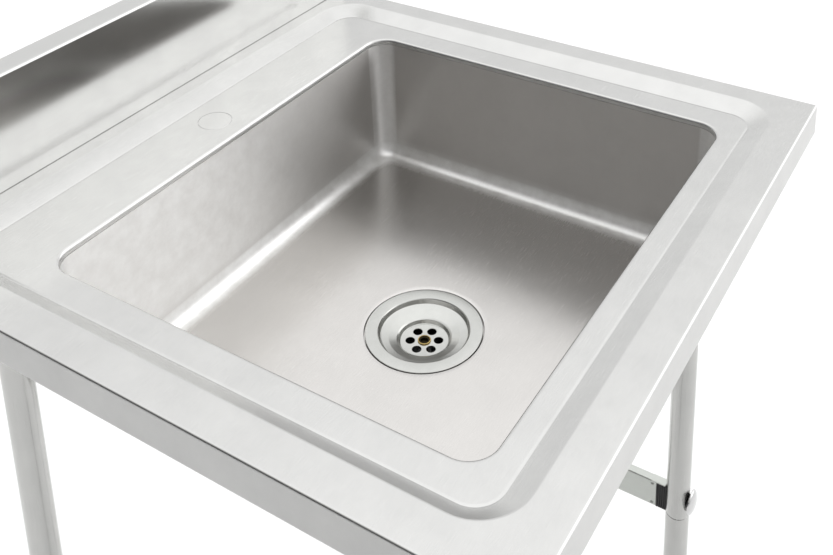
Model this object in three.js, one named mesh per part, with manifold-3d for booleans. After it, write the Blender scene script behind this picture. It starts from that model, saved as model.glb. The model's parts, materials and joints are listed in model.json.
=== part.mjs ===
// Free-standing handwash sink: a stainless worktop with one welded bowl and a
// rear splashback, carried on four round two-piece legs that are joined front
// to back by a rectangular rail on each side and stand on screw-adjusted feet.
//
// Frame: millimetres, +Z up, the floor is z = 0, the footprint is centred on
// the origin, +X is the user's right and -Y is the side the user stands on.
import * as THREE from 'three';
import { mergeVertices } from 'three/addons/utils/BufferGeometryUtils.js';
import Module from 'manifold-3d';

const wasm = await Module();
wasm.setup();

// ------------------------------------------------------------ shared sizes
const HALF_WIDTH = 600 / 2;     // overall, along X
const HALF_DEPTH = 590 / 2;     // overall, along Y
const RIM_Z = 850;              // height of the raised rim
const DECK_Z = RIM_Z - 7;       // the deck is sunk below the rim
const SHEET = 1.2;              // worktop, bowl and splashback sheet
const GAP = 0.3;                // working gap between touching pieces
const CORNER_STEPS = 5;         // steps round each corner of a sheet ring

// bowl opening in the deck
const OPEN_X = 226;             // half width
const OPEN_FRONT = -226;
const OPEN_BACK = 166;
const OPEN_R = 22;              // corner radius
const COLLAR = 5.5;             // height of the turned-down collar, deck to weld

// waste, shared by the bowl floor and the waste pieces
const FLOOR_Z = 700.5;          // bowl floor beside the waste
const DRAIN_Y = (OPEN_FRONT + OPEN_BACK) / 2 - 5;   // a little in front of the middle
const FLANGE_R = 53.2;          // strainer flange
const CUP_R = 40.8;             // strainer cup mouth
const SEAT_Z = FLOOR_Z - 2.4;   // recess in the floor that seats the flange

// legs, shared by the channels and rails
const LEG_X = 247;
const LEG_Y = 195;
const CHANNEL_BOTTOM = 821;
const CHANNEL_INWARD = 18;      // channel edges, measured in X from the leg axis
const CHANNEL_OUTWARD = 14;

// side rails
const RAIL_WIDTH = 10;
const RAIL_HEIGHT = 33;
const RAIL_WALL = 1.2;
const RAIL_Z = 365;             // mid-height
const RAIL_END = 171.5;         // |y| of the tube ends

// ------------------------------------------------------------ solid helpers
// Merges vertices, drops collapsed triangles and turns all faces outward.
function clean(geometry) {
  for (const name of Object.keys(geometry.attributes)) {
    if (name !== 'position') geometry.deleteAttribute(name);
  }
  const merged = mergeVertices(geometry, 1e-4);
  const position = merged.getAttribute('position');
  const source = merged.index.array;
  const index = [];
  let volume = 0;
  const corners = [new THREE.Vector3(), new THREE.Vector3(), new THREE.Vector3()];
  for (let i = 0; i < source.length; i += 3) {
    const triangle = [source[i], source[i + 1], source[i + 2]];
    if (new Set(triangle).size < 3) continue;
    corners.forEach((corner, k) => corner.fromBufferAttribute(position, triangle[k]));
    volume += corners[0].dot(corners[1].cross(corners[2]));
    index.push(...triangle);
  }
  if (volume < 0) {
    for (let i = 0; i < index.length; i += 3) {
      [index[i], index[i + 1]] = [index[i + 1], index[i]];
    }
  }
  return indexed(position.array, index);
}

function indexed(coordinates, index) {
  const geometry = new THREE.BufferGeometry();
  const position = new THREE.BufferAttribute(new Float32Array(coordinates), 3);
  geometry.setAttribute('position', position);
  geometry.setIndex(index);
  return geometry;
}

function toSolid(geometry) {
  const cleaned = clean(geometry);
  return new wasm.Manifold(new wasm.Mesh({
    numProp: 3,
    vertProperties: new Float32Array(cleaned.getAttribute('position').array),
    triVerts: new Uint32Array(cleaned.index.array),
  }));
}

// All solids here carry positions only, so each vertex has three properties.
function fromSolid(solid) {
  const mesh = solid.getMesh();
  return indexed(mesh.vertProperties, Array.from(mesh.triVerts));
}

function cut(base, ...tools) {
  return fromSolid(tools.reduce((solid, tool) => solid.subtract(toSolid(tool)), toSolid(base)));
}

function join(base, ...others) {
  return fromSolid(others.reduce((solid, other) => solid.add(toSolid(other)), toSolid(base)));
}

// Turned shape about Z from [radius, height] pairs. A profile that does not
// start and end on the axis is closed on itself.
function turned(profile, segments) {
  const points = profile.map(([radius, z]) => new THREE.Vector2(radius, z));
  if (profile[0][0] !== 0 || profile.at(-1)[0] !== 0) points.push(points[0].clone());
  const geometry = new THREE.LatheGeometry(points, segments);
  geometry.rotateX(Math.PI / 2);
  return clean(geometry);
}

function rod(radius, bottom, top, segments) {
  return turned([[0, bottom], [radius, bottom], [radius, top], [0, top]], segments);
}

function tube(outer, inner, bottom, top, segments) {
  return turned([[inner, bottom], [outer, bottom], [outer, top], [inner, top]], segments);
}

// Equal upright rods spread round Z; the first stands at startAngle.
function rodCircle(count, pitchRadius, startAngle, ...rodSize) {
  return Array.from({ length: count }, (_, i) => {
    const angle = startAngle + (i * 2 * Math.PI) / count;
    const x = pitchRadius * Math.cos(angle);
    const y = pitchRadius * Math.sin(angle);
    return rod(...rodSize).translate(x, y, 0);
  });
}

// Box from a pair of limits along each axis, in either order.
function box(...limits) {
  const size = limits.map(([start, end]) => Math.abs(end - start));
  const centre = limits.map(([start, end]) => (start + end) / 2);
  return clean(new THREE.BoxGeometry(...size).translate(...centre));
}

// Outline of number pairs drawn out along +Z.
function extruded(outline, depth, holes = []) {
  const toPoints = (pairs) => pairs.map((pair) => new THREE.Vector2(...pair));
  const shape = new THREE.Shape(toPoints(outline));
  for (const hole of holes) shape.holes.push(new THREE.Path(toPoints(hole)));
  return new THREE.ExtrudeGeometry(shape, { depth, bevelEnabled: false });
}

// Prism centred along Y from a closed outline in X and Z.
function prismY(outline, halfLength, holes) {
  const geometry = extruded(outline, 2 * halfLength, holes);
  geometry.rotateX(Math.PI / 2);
  geometry.translate(0, halfLength, 0);
  return clean(geometry);
}

// Prism centred along X from a closed outline in Y and Z.
function prismX(outline, halfLength) {
  const geometry = extruded(outline, 2 * halfLength);
  geometry.translate(0, 0, -halfLength);
  geometry.applyMatrix4(new THREE.Matrix4().makeBasis(
    new THREE.Vector3(0, 1, 0), new THREE.Vector3(0, 0, 1), new THREE.Vector3(1, 0, 0),
  ));
  return clean(geometry);
}

// One corner-rounded rectangular ring of points, counter-clockwise from above,
// with sidePoints extra points between the corners.
function ring(xMin, xMax, yMin, yMax, radius, z, sidePoints = 0) {
  const points = [];
  const centres = [
    [xMax - radius, yMax - radius], [xMin + radius, yMax - radius],
    [xMin + radius, yMin + radius], [xMax - radius, yMin + radius],
  ];
  const addPoint = (x, y, degrees) => {
    const angle = THREE.MathUtils.degToRad(degrees);
    const offsetX = radius * Math.cos(angle);
    const offsetY = radius * Math.sin(angle);
    points.push(new THREE.Vector3(x + offsetX, y + offsetY, z));
  };
  centres.forEach(([x, y], corner) => {
    const start = 90 * corner;
    for (let i = 0; i <= CORNER_STEPS; i++) addPoint(x, y, start + (90 * i) / CORNER_STEPS);
    const [nextX, nextY] = centres[(corner + 1) % 4];
    for (let i = 1; i <= sidePoints; i++) {
      const share = i / (sidePoints + 1);
      addPoint(x + (nextX - x) * share, y + (nextY - y) * share, start + 90);
    }
  });
  return points;
}

// An evenly divided circular ring that matches ring() point for point.
function circle(centreY, radius, z, sidePoints) {
  const count = 4 * (CORNER_STEPS + 1 + sidePoints);
  return Array.from({ length: count }, (_, i) => {
    const angle = THREE.MathUtils.degToRad(45 + ((i - CORNER_STEPS / 2) * 360) / count);
    return new THREE.Vector3(radius * Math.cos(angle), centreY + radius * Math.sin(angle), z);
  });
}

// Sheet body skinned over a sequence of rings that returns to its start.
function skinned(rings) {
  const count = rings[0].length;
  const coordinates = rings.flat().flatMap((point) => point.toArray());
  const index = [];
  for (let j = 0; j < rings.length; j++) {
    const here = j * count;
    const next = ((j + 1) % rings.length) * count;
    for (let i = 0; i < count; i++) {
      const k = (i + 1) % count;
      index.push(here + i, here + k, next + k, here + i, next + k, next + i);
    }
  }
  return clean(indexed(coordinates, index));
}

// Lays a shape made about +Z along +Y (sign 1) or -Y (sign -1) at height z.
function layAlongY(geometry, sign, z) {
  const from = new THREE.Vector3(0, 0, 1);
  const to = new THREE.Vector3(0, sign, 0);
  geometry.applyQuaternion(new THREE.Quaternion().setFromUnitVectors(from, to));
  return geometry.translate(0, 0, z);
}

// ------------------------------------------------------------ materials
const finish = {
  steel: { color: 0xc9c8c4, roughness: 0.34, metalness: 1.0 },
  tubeSteel: { color: 0xb4b4b0, roughness: 0.42, metalness: 1.0 },
  railSteel: { color: 0xb9bcb5, roughness: 0.45, metalness: 1.0 },
  bright: { color: 0xd6d8d6, roughness: 0.22, metalness: 1.0 },
  zinc: { color: 0xa9abab, roughness: 0.4, metalness: 1.0 },
  brass: { color: 0xb59a55, roughness: 0.35, metalness: 1.0 },
  black: { color: 0x161616, roughness: 0.6, metalness: 0.0 },
  greyPlastic: { color: 0x2b2c2e, roughness: 0.5, metalness: 0.0 },
  rubber: { color: 0x1c1c1c, roughness: 0.85, metalness: 0.0 },
};

const sink = new THREE.Group();

function place(parent, name, geometry, look, y = 0) {
  const mesh = new THREE.Mesh(geometry, new THREE.MeshStandardMaterial(finish[look]));
  mesh.name = name;
  mesh.position.y = y;
  parent.add(mesh);
}

// ------------------------------------------------------------ worktop
const APRON_Z = RIM_Z - 30;     // bottom of the folded edge
const LIP = 14;                 // return fold under the apron
const EDGE_R = 3;               // roll-over radius at the opening
const DECK_R = 22;              // deck corner radius at the foot of the double bend
const BEND_R_EXTRA = 17;        // added to it at the top of the double bend
// flat part of the rim and plan width of the double bend, on each side
const FLAT = { left: 31, right: 23.5, front: 29.5, back: 41 };
const SLOPE = { left: 15, right: 20.3, front: 18.5, back: 21 };
const TAP_R = 16;               // knock-out blank
const TAP_Y = 200;
const TAP_SEGMENTS = 32;

function edgeRing([inset, radius, z]) {
  const x = HALF_WIDTH - inset;
  const y = HALF_DEPTH - inset;
  return ring(-x, x, -y, y, radius, z);
}

// share runs from 0 where the flat ends to 1 where the deck starts
function slopeRing(share, z) {
  const inset = (side) => FLAT[side] + share * SLOPE[side];
  return ring(
    -HALF_WIDTH + inset('left'), HALF_WIDTH - inset('right'),
    -HALF_DEPTH + inset('front'), HALF_DEPTH - FLAT.back - share * SLOPE.back,
    DECK_R + BEND_R_EXTRA * (1 - share), z,
  );
}

function openingRing([outset, z]) {
  return ring(
    -OPEN_X - outset, OPEN_X + outset, OPEN_FRONT - outset, OPEN_BACK + outset,
    OPEN_R + outset, z,
  );
}

function worktop() {
  // [inset from the outer edge, corner radius, z], from the lip up to the rim
  const outerEdge = [
    [LIP, 1.0, APRON_Z], [1.5, 1.5, APRON_Z], [0, 2.0, APRON_Z + 1.5],
    [0, 2.0, RIM_Z - 1.6], [0.5, 1.8, RIM_Z - 0.5], [1.6, 1.5, RIM_Z],
  ];
  // the same columns on the underside, from the rim down to the lip
  const innerEdge = [
    [1.9, 1.2, RIM_Z - SHEET], [SHEET, 1.0, RIM_Z - 2.4], [SHEET, 1.0, APRON_Z + 2.2],
    [2.0, 0.8, APRON_Z + SHEET], [LIP, 0.6, APRON_Z + SHEET],
  ];
  // fold, flat slope, fold: [share of the slope, fall below the rim]
  const drop = RIM_Z - DECK_Z;
  const doubleBend = [
    [0, 0], [0.07, 0.15], [0.14, 0.65], [0.88, drop - 0.45], [0.94, drop - 0.1], [1, drop],
  ];
  // [outset from the opening, z], down the collar and back up its outside
  const collar = [
    [EDGE_R, DECK_Z], [EDGE_R * 0.29, DECK_Z - EDGE_R * 0.29],
    [0, DECK_Z - EDGE_R], [0, DECK_Z - COLLAR],
    [SHEET, DECK_Z - COLLAR], [SHEET, DECK_Z - EDGE_R],
    [SHEET + 1.2, DECK_Z - SHEET - 0.6], [EDGE_R + 0.4, DECK_Z - SHEET],
  ];
  const bendRings = (depth) =>
    doubleBend.map(([share, fall]) => slopeRing(share, RIM_Z - fall - depth));
  const sheet = skinned([
    ...outerEdge.map(edgeRing),
    ...bendRings(0),
    ...collar.map(openingRing),
    ...bendRings(SHEET).reverse(),
    ...innerEdge.map(edgeRing),
  ]);
  const tapHole = rod(TAP_R + GAP, DECK_Z - 12, DECK_Z + 12, TAP_SEGMENTS);
  return cut(sheet, tapHole.translate(0, TAP_Y, 0));
}

// knock-out disc that closes the tap hole, flush with the deck
function tapHoleBlank() {
  return rod(TAP_R, DECK_Z - SHEET, DECK_Z, TAP_SEGMENTS);
}

place(sink, 'worktop', worktop(), 'steel');
place(sink, 'tap_hole_blank', tapHoleBlank(), 'steel', TAP_Y);

// ------------------------------------------------------------ bowl
const BOWL_SIDE_POINTS = 3;     // points along each straight side
const BOWL_TOP = DECK_Z - COLLAR - GAP;
const DRAFT = 4.5;              // wall taper from top to floor
const CORNER_R_LOSS = 3;        // the corner radius tightens by this, top to floor
const COVE = 14;                // floor cove radius
const COVE_MIN_CORNER_R = 7;
const FLOOR_FALL = 2.5;         // fall of the floor from the cove to the waste
const WALL_FOOT = FLOOR_Z + FLOOR_FALL + COVE;
const RECESS_R = FLANGE_R + 1.2;
const RECESS_SLOPE = 1.0;       // plan width of the recess edge
const WASTE_HOLE_R = CUP_R + 2.0;

const wallShare = (z) => (BOWL_TOP - z) / (BOWL_TOP - FLOOR_Z);

function bowlRing(inset, radius, z) {
  return ring(
    -OPEN_X + inset, OPEN_X - inset, OPEN_FRONT + inset, OPEN_BACK - inset,
    radius, z, BOWL_SIDE_POINTS,
  );
}

// outset moves a ring from the inner skin to the outer one
function wallRing(z, outset) {
  const share = wallShare(z);
  return bowlRing(DRAFT * share - outset, OPEN_R - CORNER_R_LOSS * share + outset, z);
}

// share runs from 0 at the wall to 1 at the floor
function coveRing(share, outset) {
  const angle = (share * Math.PI) / 2;
  const inward = COVE - (COVE + outset) * Math.cos(angle);
  const radius = Math.max(OPEN_R - CORNER_R_LOSS - inward + 1, COVE_MIN_CORNER_R);
  const z = WALL_FOOT - (COVE + outset) * Math.sin(angle);
  return bowlRing(DRAFT * wallShare(WALL_FOOT) + inward, radius, z);
}

function bowl() {
  const wallAndCove = (outset) => [
    ...[BOWL_TOP, (BOWL_TOP + WALL_FOOT) / 2, WALL_FOOT].map((z) => wallRing(z, outset)),
    ...[0.25, 0.5, 0.75, 1].map((share) => coveRing(share, outset)),
  ];
  // [radius, z] round the waste, inward over the floor and back underneath
  const wasteSeat = [
    [RECESS_R + RECESS_SLOPE, FLOOR_Z], [RECESS_R, SEAT_Z], [WASTE_HOLE_R, SEAT_Z],
    [WASTE_HOLE_R, SEAT_Z - SHEET], [RECESS_R + SHEET, SEAT_Z - SHEET],
    [RECESS_R + SHEET + RECESS_SLOPE, FLOOR_Z - SHEET],
  ];
  return skinned([
    ...wallAndCove(0),
    ...wasteSeat.map(([radius, z]) => circle(DRAIN_Y, radius, z, BOWL_SIDE_POINTS)),
    ...wallAndCove(SHEET).reverse(),
  ]);
}

place(sink, 'bowl', bowl(), 'steel');

// ------------------------------------------------------------ splashback
// Folded box panel, open at the back and below: front skin, top fold and a
// short rear return, with closed ends.
const SPLASH_BACK = HALF_DEPTH;
const SPLASH_FRONT = SPLASH_BACK - 27;
const SPLASH_BOTTOM = RIM_Z + GAP;
const SPLASH_TOP = RIM_Z + 105;
const SPLASH_RETURN = 18;       // rear return, along the top and both ends

function splashback() {
  // [y, z] with softened upper folds
  const outline = [
    [SPLASH_FRONT, SPLASH_BOTTOM], [SPLASH_BACK, SPLASH_BOTTOM],
    [SPLASH_BACK, SPLASH_TOP - 2], [SPLASH_BACK - 2, SPLASH_TOP],
    [SPLASH_FRONT + 2, SPLASH_TOP], [SPLASH_FRONT + 0.6, SPLASH_TOP - 0.6],
    [SPLASH_FRONT, SPLASH_TOP - 2],
  ];
  const hollowX = HALF_WIDTH - SHEET;
  const hollow = box(
    [-hollowX, hollowX],
    [SPLASH_FRONT + SHEET, SPLASH_BACK - SHEET],
    [SPLASH_BOTTOM - 5, SPLASH_TOP - SHEET],
  );
  const windowX = HALF_WIDTH - SPLASH_RETURN;
  const rearWindow = box(
    [-windowX, windowX],
    [SPLASH_BACK - SHEET - 1, SPLASH_BACK + 5],
    [SPLASH_BOTTOM - 5, SPLASH_TOP - SPLASH_RETURN],
  );
  return cut(prismX(outline, HALF_WIDTH), hollow, rearWindow);
}

place(sink, 'splashback', splashback(), 'steel');

// ------------------------------------------------------------ side channels
// Folded channels, open at the top, under the side margins; they take the leg sockets.
const CHANNEL_TOP = DECK_Z - SHEET - 2 * GAP;
const CHANNEL_WALL = 1.5;
const CHANNEL_HALF_LENGTH = 236;

function sideChannel(sideX) {
  const inner = LEG_X - CHANNEL_INWARD;
  const outer = LEG_X + CHANNEL_OUTWARD;
  const floorTop = CHANNEL_BOTTOM + CHANNEL_WALL;
  // [distance from the centre line, z]
  const outline = [
    [inner, CHANNEL_BOTTOM], [outer, CHANNEL_BOTTOM], [outer, CHANNEL_TOP],
    [outer - CHANNEL_WALL, CHANNEL_TOP], [outer - CHANNEL_WALL, floorTop],
    [inner + CHANNEL_WALL, floorTop], [inner + CHANNEL_WALL, CHANNEL_TOP],
    [inner, CHANNEL_TOP],
  ];
  return prismY(outline.map(([x, z]) => [sideX * x, z]), CHANNEL_HALF_LENGTH);
}

const SIDES = [['left', -1], ['right', 1]];
for (const [side, sideX] of SIDES) {
  place(sink, `side_channel_${side}`, sideChannel(sideX), 'zinc');
}

// ------------------------------------------------------------ waste
// All pieces are turned about the drain axis.
const FLANGE_Z = FLOOR_Z + 0.3;
const STRAINER_T = 1.0;         // strainer sheet
const CUP_FOOT_R = CUP_R - 1.4;
const LEDGE_Z = FLANGE_Z - 4.5; // foot of the wall below the mouth
const CONE_TOP_R = 38;
const CONE_MID_R = 32;
const CONE_MID_Z = FLANGE_Z - 6.0;
const CONE_BOTTOM_R = 23.8;
const CONE_BOTTOM_Z = FLANGE_Z - 8;
const BASE_R = 21.8;
const BASE_Z = FLANGE_Z - 12;   // upper face of the strainer base
const DRAIN_HOLES = 6;
const DRAIN_HOLE_R = 3.95;
const DRAIN_PITCH_R = 12.7;
const SCREW_HOLE_R = 4.3;

const GASKET_T = 3;             // lower gasket
const GASKET_TOP = SEAT_Z - SHEET - GAP;
const GASKET_SEGMENTS = 20;
const BODY_TOP = GASKET_TOP - GASKET_T - GAP;
const BODY_R = FLANGE_R + 2.3;  // clamping ring
const OUTLET_Z = BODY_TOP - 60;
const WASHER_TOP = OUTLET_Z - GAP;
const WASHER_T = 2.4;
const PIPE_TOP = WASHER_TOP - WASHER_T - GAP;
const PIPE_FLANGE_R = 23.2;     // also the washer's radius
const PLUMBING_SEGMENTS = 16;

function wasteStrainer() {
  const coneFootR = CONE_BOTTOM_R - 0.6;
  const coneFootZ = CONE_BOTTOM_Z - 0.8;
  // [radius, z]: one loop from the axis out along the underside and back on top
  const profile = [
    [0, BASE_Z - STRAINER_T], [BASE_R + STRAINER_T * 0.8, BASE_Z - STRAINER_T],
    [coneFootR + STRAINER_T * 0.8, coneFootZ - STRAINER_T * 0.8],
    [CONE_MID_R, CONE_MID_Z - STRAINER_T],
    [CONE_TOP_R, LEDGE_Z - 0.4 - STRAINER_T], [CUP_FOOT_R + STRAINER_T, LEDGE_Z - 0.4],
    [CUP_R + STRAINER_T, FLANGE_Z - STRAINER_T - 0.8],
    [CUP_R + STRAINER_T + 0.6, FLANGE_Z - STRAINER_T],
    [FLANGE_R - 0.6, FLANGE_Z - STRAINER_T], [FLANGE_R, FLANGE_Z - STRAINER_T * 0.5],
    [FLANGE_R - 0.6, FLANGE_Z], [CUP_R + 0.8, FLANGE_Z], [CUP_R, FLANGE_Z - 0.8],
    [CUP_FOOT_R, LEDGE_Z], [CONE_TOP_R, LEDGE_Z - 0.4], [CONE_MID_R, CONE_MID_Z],
    [CONE_BOTTOM_R + 1.0, CONE_BOTTOM_Z], [coneFootR, coneFootZ],
    [BASE_R, BASE_Z], [0, BASE_Z],
  ];
  const holeSpan = [FLANGE_Z - 20, FLANGE_Z - 9, 8];
  return cut(
    turned(profile, 24),
    ...rodCircle(DRAIN_HOLES, DRAIN_PITCH_R, 0, DRAIN_HOLE_R, ...holeSpan),
    rod(SCREW_HOLE_R, ...holeSpan),
  );
}

// centre screw: socket head on the strainer base, shank down to the body's boss
function strainerScrew() {
  const solid = turned([
    [0, BASE_Z - 46], [3, BASE_Z - 46], [3, BASE_Z - 2.6], [3.9, BASE_Z - 2.6],
    [3.9, BASE_Z + GAP], [6.8, BASE_Z + GAP], [6.8, BASE_Z + 1.2], [6.1, BASE_Z + 1.9],
    [0, BASE_Z + 1.9],
  ], 14);
  const hexSocket = rod(3.0, BASE_Z - 0.6, BASE_Z + 5, 6);
  const bevel = turned([
    [0, BASE_Z + 0.9], [4.5, BASE_Z + 2.2], [4.5, BASE_Z + 4], [0, BASE_Z + 4],
  ], 14);
  return cut(solid, hexSocket, bevel);
}

function upperGasket() {
  const clearance = 0.25;
  return tube(
    FLANGE_R - 1.2, CUP_R + 2.6,
    SEAT_Z + clearance, FLANGE_Z - STRAINER_T - clearance, GASKET_SEGMENTS,
  );
}

function lowerGasket() {
  return tube(FLANGE_R + 1.5, CUP_R + 4, GASKET_TOP - GASKET_T, GASKET_TOP, GASKET_SEGMENTS);
}

// moulded lower body: clamping ring, funnel, outlet and a bridge with a boss for the screw
function wasteBody() {
  // [radius, z], down the inside and up the outside
  const shell = turned([
    [CUP_R + 3, BODY_TOP], [CUP_R + 3, BODY_TOP - 10], [41, BODY_TOP - 22],
    [22, BODY_TOP - 34], [20, BODY_TOP - 36], [20, OUTLET_Z],
    [23.6, OUTLET_Z], [23.6, BODY_TOP - 38], [25, BODY_TOP - 36],
    [44, BODY_TOP - 24], [47, BODY_TOP - 11], [BODY_R, BODY_TOP - 6], [BODY_R, BODY_TOP],
  ], PLUMBING_SEGMENTS);
  const bossBottom = BODY_TOP - 30;
  const bridgeTop = BODY_TOP - 18;
  const bridge = box([-42, 42], [-2, 2], [bossBottom + 4, bridgeTop]);
  const boss = rod(6.5, bossBottom, bridgeTop + 1, 12);
  const bossBore = rod(3.3, bossBottom - 3, bridgeTop + 5, 10);
  return cut(join(shell, bridge, boss), bossBore);
}

function outletWasher() {
  return tube(PIPE_FLANGE_R, 19.2, WASHER_TOP - WASHER_T, WASHER_TOP, PLUMBING_SEGMENTS);
}

function tailPipe() {
  const bottom = PIPE_TOP - 92;
  return turned([
    [16.4, PIPE_TOP], [16.4, bottom], [18.6, bottom], [19.0, PIPE_TOP - 86],
    [19.0, PIPE_TOP - 4], [PIPE_FLANGE_R, PIPE_TOP - 2.6], [PIPE_FLANGE_R, PIPE_TOP],
  ], PLUMBING_SEGMENTS);
}

function unionNut() {
  const top = OUTLET_Z + 16;
  const bottom = PIPE_TOP - 9;
  const blank = turned([
    [24.0, top], [24.0, PIPE_TOP - 3.6], [19.6, PIPE_TOP - 5.0], [19.6, bottom],
    [27, bottom], [30.5, bottom + 3], [30.5, top - 2], [29, top],
  ], PLUMBING_SEGMENTS);
  const gripCount = 6;
  const grips = rodCircle(gripCount, 33, Math.PI / gripCount, 4, bottom - 3, top + 3, 6);
  return cut(blank, ...grips);
}

place(sink, 'waste_strainer', wasteStrainer(), 'bright', DRAIN_Y);
place(sink, 'strainer_screw', strainerScrew(), 'brass', DRAIN_Y);
place(sink, 'upper_gasket', upperGasket(), 'rubber', DRAIN_Y);
place(sink, 'lower_gasket', lowerGasket(), 'rubber', DRAIN_Y);
place(sink, 'waste_body', wasteBody(), 'greyPlastic', DRAIN_Y);
place(sink, 'outlet_washer', outletWasher(), 'rubber', DRAIN_Y);
place(sink, 'tail_pipe', tailPipe(), 'greyPlastic', DRAIN_Y);
place(sink, 'union_nut', unionNut(), 'greyPlastic', DRAIN_Y);

// ------------------------------------------------------------ legs and feet
// Each leg is built about its own axis. sideX and sideY are the signs of the
// corner it stands in, so sideY * y grows away from the rail.
const LEG_R = 12.7;
const LEG_SEGMENTS = 12;        // facets round the legs and everything nested in them
const LEG_BORE_R = LEG_R - 1.2;
const LEG_TOP = 817.4;
const LEG_CHAMFER = 0.6;
const LEG_FOOT = 29.3;          // lower end of the lower leg
const SEAM_Z = 351;             // joint between upper and lower leg
const NESTED_R = LEG_BORE_R - 0.35;   // spigot and socket plug inside the leg
const SPIGOT_TOP = SEAM_Z + 62; // swaged end of the lower leg inside the upper leg
const SOCKET_SCREW_Z = LEG_TOP - 30;
const BOLT_Z = 370;             // the bolts sit a little above the rail's mid-height
const BOLT_R = 3;               // M6
const BOLT_HEAD_R = 13.5;
const SADDLE_FACE = LEG_R + 1.4;    // outer face of the saddle, from the leg axis
const STUD_R = 5;               // M10
const STUD_BORE_R = STUD_R + 0.3;
const PAD_R = 19;

// clearance cuts shared by several pieces
function boltClearance() {
  return layAlongY(rod(BOLT_R + 0.35, -20, 20, 10), 1, BOLT_Z);
}

function legClearance() {
  return rod(LEG_R + 0.35, RAIL_Z - 60, RAIL_Z + 60, LEG_SEGMENTS);
}

// plate welded under the channel with a plug that enters the leg
function legSocket(sideX) {
  const plateInset = 2;
  const plateTop = CHANNEL_BOTTOM - GAP;
  const plate = box(
    [-sideX * (CHANNEL_INWARD - plateInset), sideX * (CHANNEL_OUTWARD - plateInset)],
    [-30, 30],
    [plateTop - 3, plateTop],
  );
  const plug = rod(NESTED_R, LEG_TOP - 58, plateTop - 1, LEG_SEGMENTS);
  const plugBore = rod(LEG_BORE_R - 3, LEG_TOP - 60, plateTop - 5, LEG_SEGMENTS);
  const tappedHole = layAlongY(rod(2.7, -20, 20, 8), 1, SOCKET_SCREW_Z);
  return cut(join(plate, plug), plugBore, tappedHole);
}

// drilled for the socket screw and the rail bolt
function upperLeg(sideY) {
  const blank = turned([
    [LEG_BORE_R, SEAM_Z], [LEG_R - LEG_CHAMFER, SEAM_Z], [LEG_R, SEAM_Z + LEG_CHAMFER],
    [LEG_R, LEG_TOP - LEG_CHAMFER], [LEG_R - LEG_CHAMFER, LEG_TOP], [LEG_BORE_R, LEG_TOP],
  ], LEG_SEGMENTS);
  const screwHole = layAlongY(rod(3.3, 0, 20, 8), sideY, SOCKET_SCREW_Z);
  return cut(blank, screwHole, boltClearance());
}

// pan-head screw that keeps the leg on its socket
function socketScrew(sideY) {
  const screw = turned([
    [0, 2], [2.3, 2], [2.3, LEG_R + 0.25], [5, LEG_R + 0.25], [5, LEG_R + 1.6],
    [3.4, LEG_R + 2.9], [0, LEG_R + 3.1],
  ], 8);
  return layAlongY(screw, sideY, SOCKET_SCREW_Z);
}

function lowerLeg() {
  // [radius, z], up the outside and back down inside the spigot
  const blank = turned([
    [LEG_BORE_R, LEG_FOOT], [LEG_R - LEG_CHAMFER, LEG_FOOT], [LEG_R, LEG_FOOT + LEG_CHAMFER],
    [LEG_R, SEAM_Z - GAP - 0.9], [LEG_R - 0.9, SEAM_Z - GAP],
    [NESTED_R, SEAM_Z - GAP + 0.4], [NESTED_R, SPIGOT_TOP - 2],
    [NESTED_R - 1.0, SPIGOT_TOP], [NESTED_R - 1.3, SPIGOT_TOP],
    [NESTED_R - 1.3, SEAM_Z - 4], [LEG_BORE_R, SEAM_Z - 8],
  ], LEG_SEGMENTS);
  return cut(blank, boltClearance());
}

// domed head outside, shank through both tubes into the rail plug
function railBolt(sideY) {
  const headSeat = SADDLE_FACE + 0.25;
  const bolt = turned([
    [0, -46], [BOLT_R, -46], [BOLT_R, headSeat], [BOLT_HEAD_R, headSeat],
    [BOLT_HEAD_R, SADDLE_FACE + 1.2], [11.6, SADDLE_FACE + 2.9], [8.0, SADDLE_FACE + 4.4],
    [3.5, SADDLE_FACE + 5.2], [0, SADDLE_FACE + 5.3],
  ], 14);
  return layAlongY(bolt, sideY, BOLT_Z);
}

// round washer hollowed to the tube
function boltSaddle(sideY) {
  const blank = turned([
    [0, 5], [10.6, 5], [11, 6], [11, SADDLE_FACE], [0, SADDLE_FACE],
  ], 14);
  return cut(layAlongY(blank, sideY, BOLT_Z), legClearance(), boltClearance());
}

// moulded block between rail and leg, with a shank inside the rail
function railPlug(sideY) {
  const railEnd = RAIL_END - LEG_Y;   // from the leg axis, negative towards the rail
  const halfWidth = RAIL_WIDTH / 2;
  const halfHeight = RAIL_HEIGHT / 2;
  const block = box(
    [-halfWidth, halfWidth],
    [sideY * (railEnd + GAP), 0],
    [RAIL_Z - halfHeight, RAIL_Z + halfHeight],
  );
  const shankInset = RAIL_WALL + 0.3;
  const shank = box(
    [-halfWidth + shankInset, halfWidth - shankInset],
    [sideY * (railEnd - 24), sideY * (railEnd + 2)],
    [RAIL_Z - halfHeight + shankInset, RAIL_Z + halfHeight - shankInset],
  );
  // bore that clears the bolt and is blind at its far end
  const boltBore = layAlongY(rod(BOLT_R + 0.3, -47, 6, 10), sideY, BOLT_Z);
  return cut(join(block, shank), legClearance(), boltBore);
}

// threaded insert in the lower end of the leg
function footInsert() {
  const shoulder = LEG_FOOT - GAP;
  return turned([
    [STUD_BORE_R, 23], [LEG_R - 1.5, 23], [LEG_R, 24.5], [LEG_R, shoulder],
    [LEG_BORE_R - 0.3, shoulder], [LEG_BORE_R - 0.3, 60], [LEG_BORE_R - 1.2, 62],
    [STUD_BORE_R, 62],
  ], LEG_SEGMENTS);
}

// stud with a hex collar
function footStud() {
  const stud = turned([
    [0, 4.6], [3.2, 4.6], [4.2, 6.5], [4.2, 14.9], [STUD_R, 14.9], [STUD_R, 56],
    [STUD_R - 1, 57.5], [0, 57.5],
  ], LEG_SEGMENTS);
  return join(stud, rod(9.2, 15, 22.2, 6));
}

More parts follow.
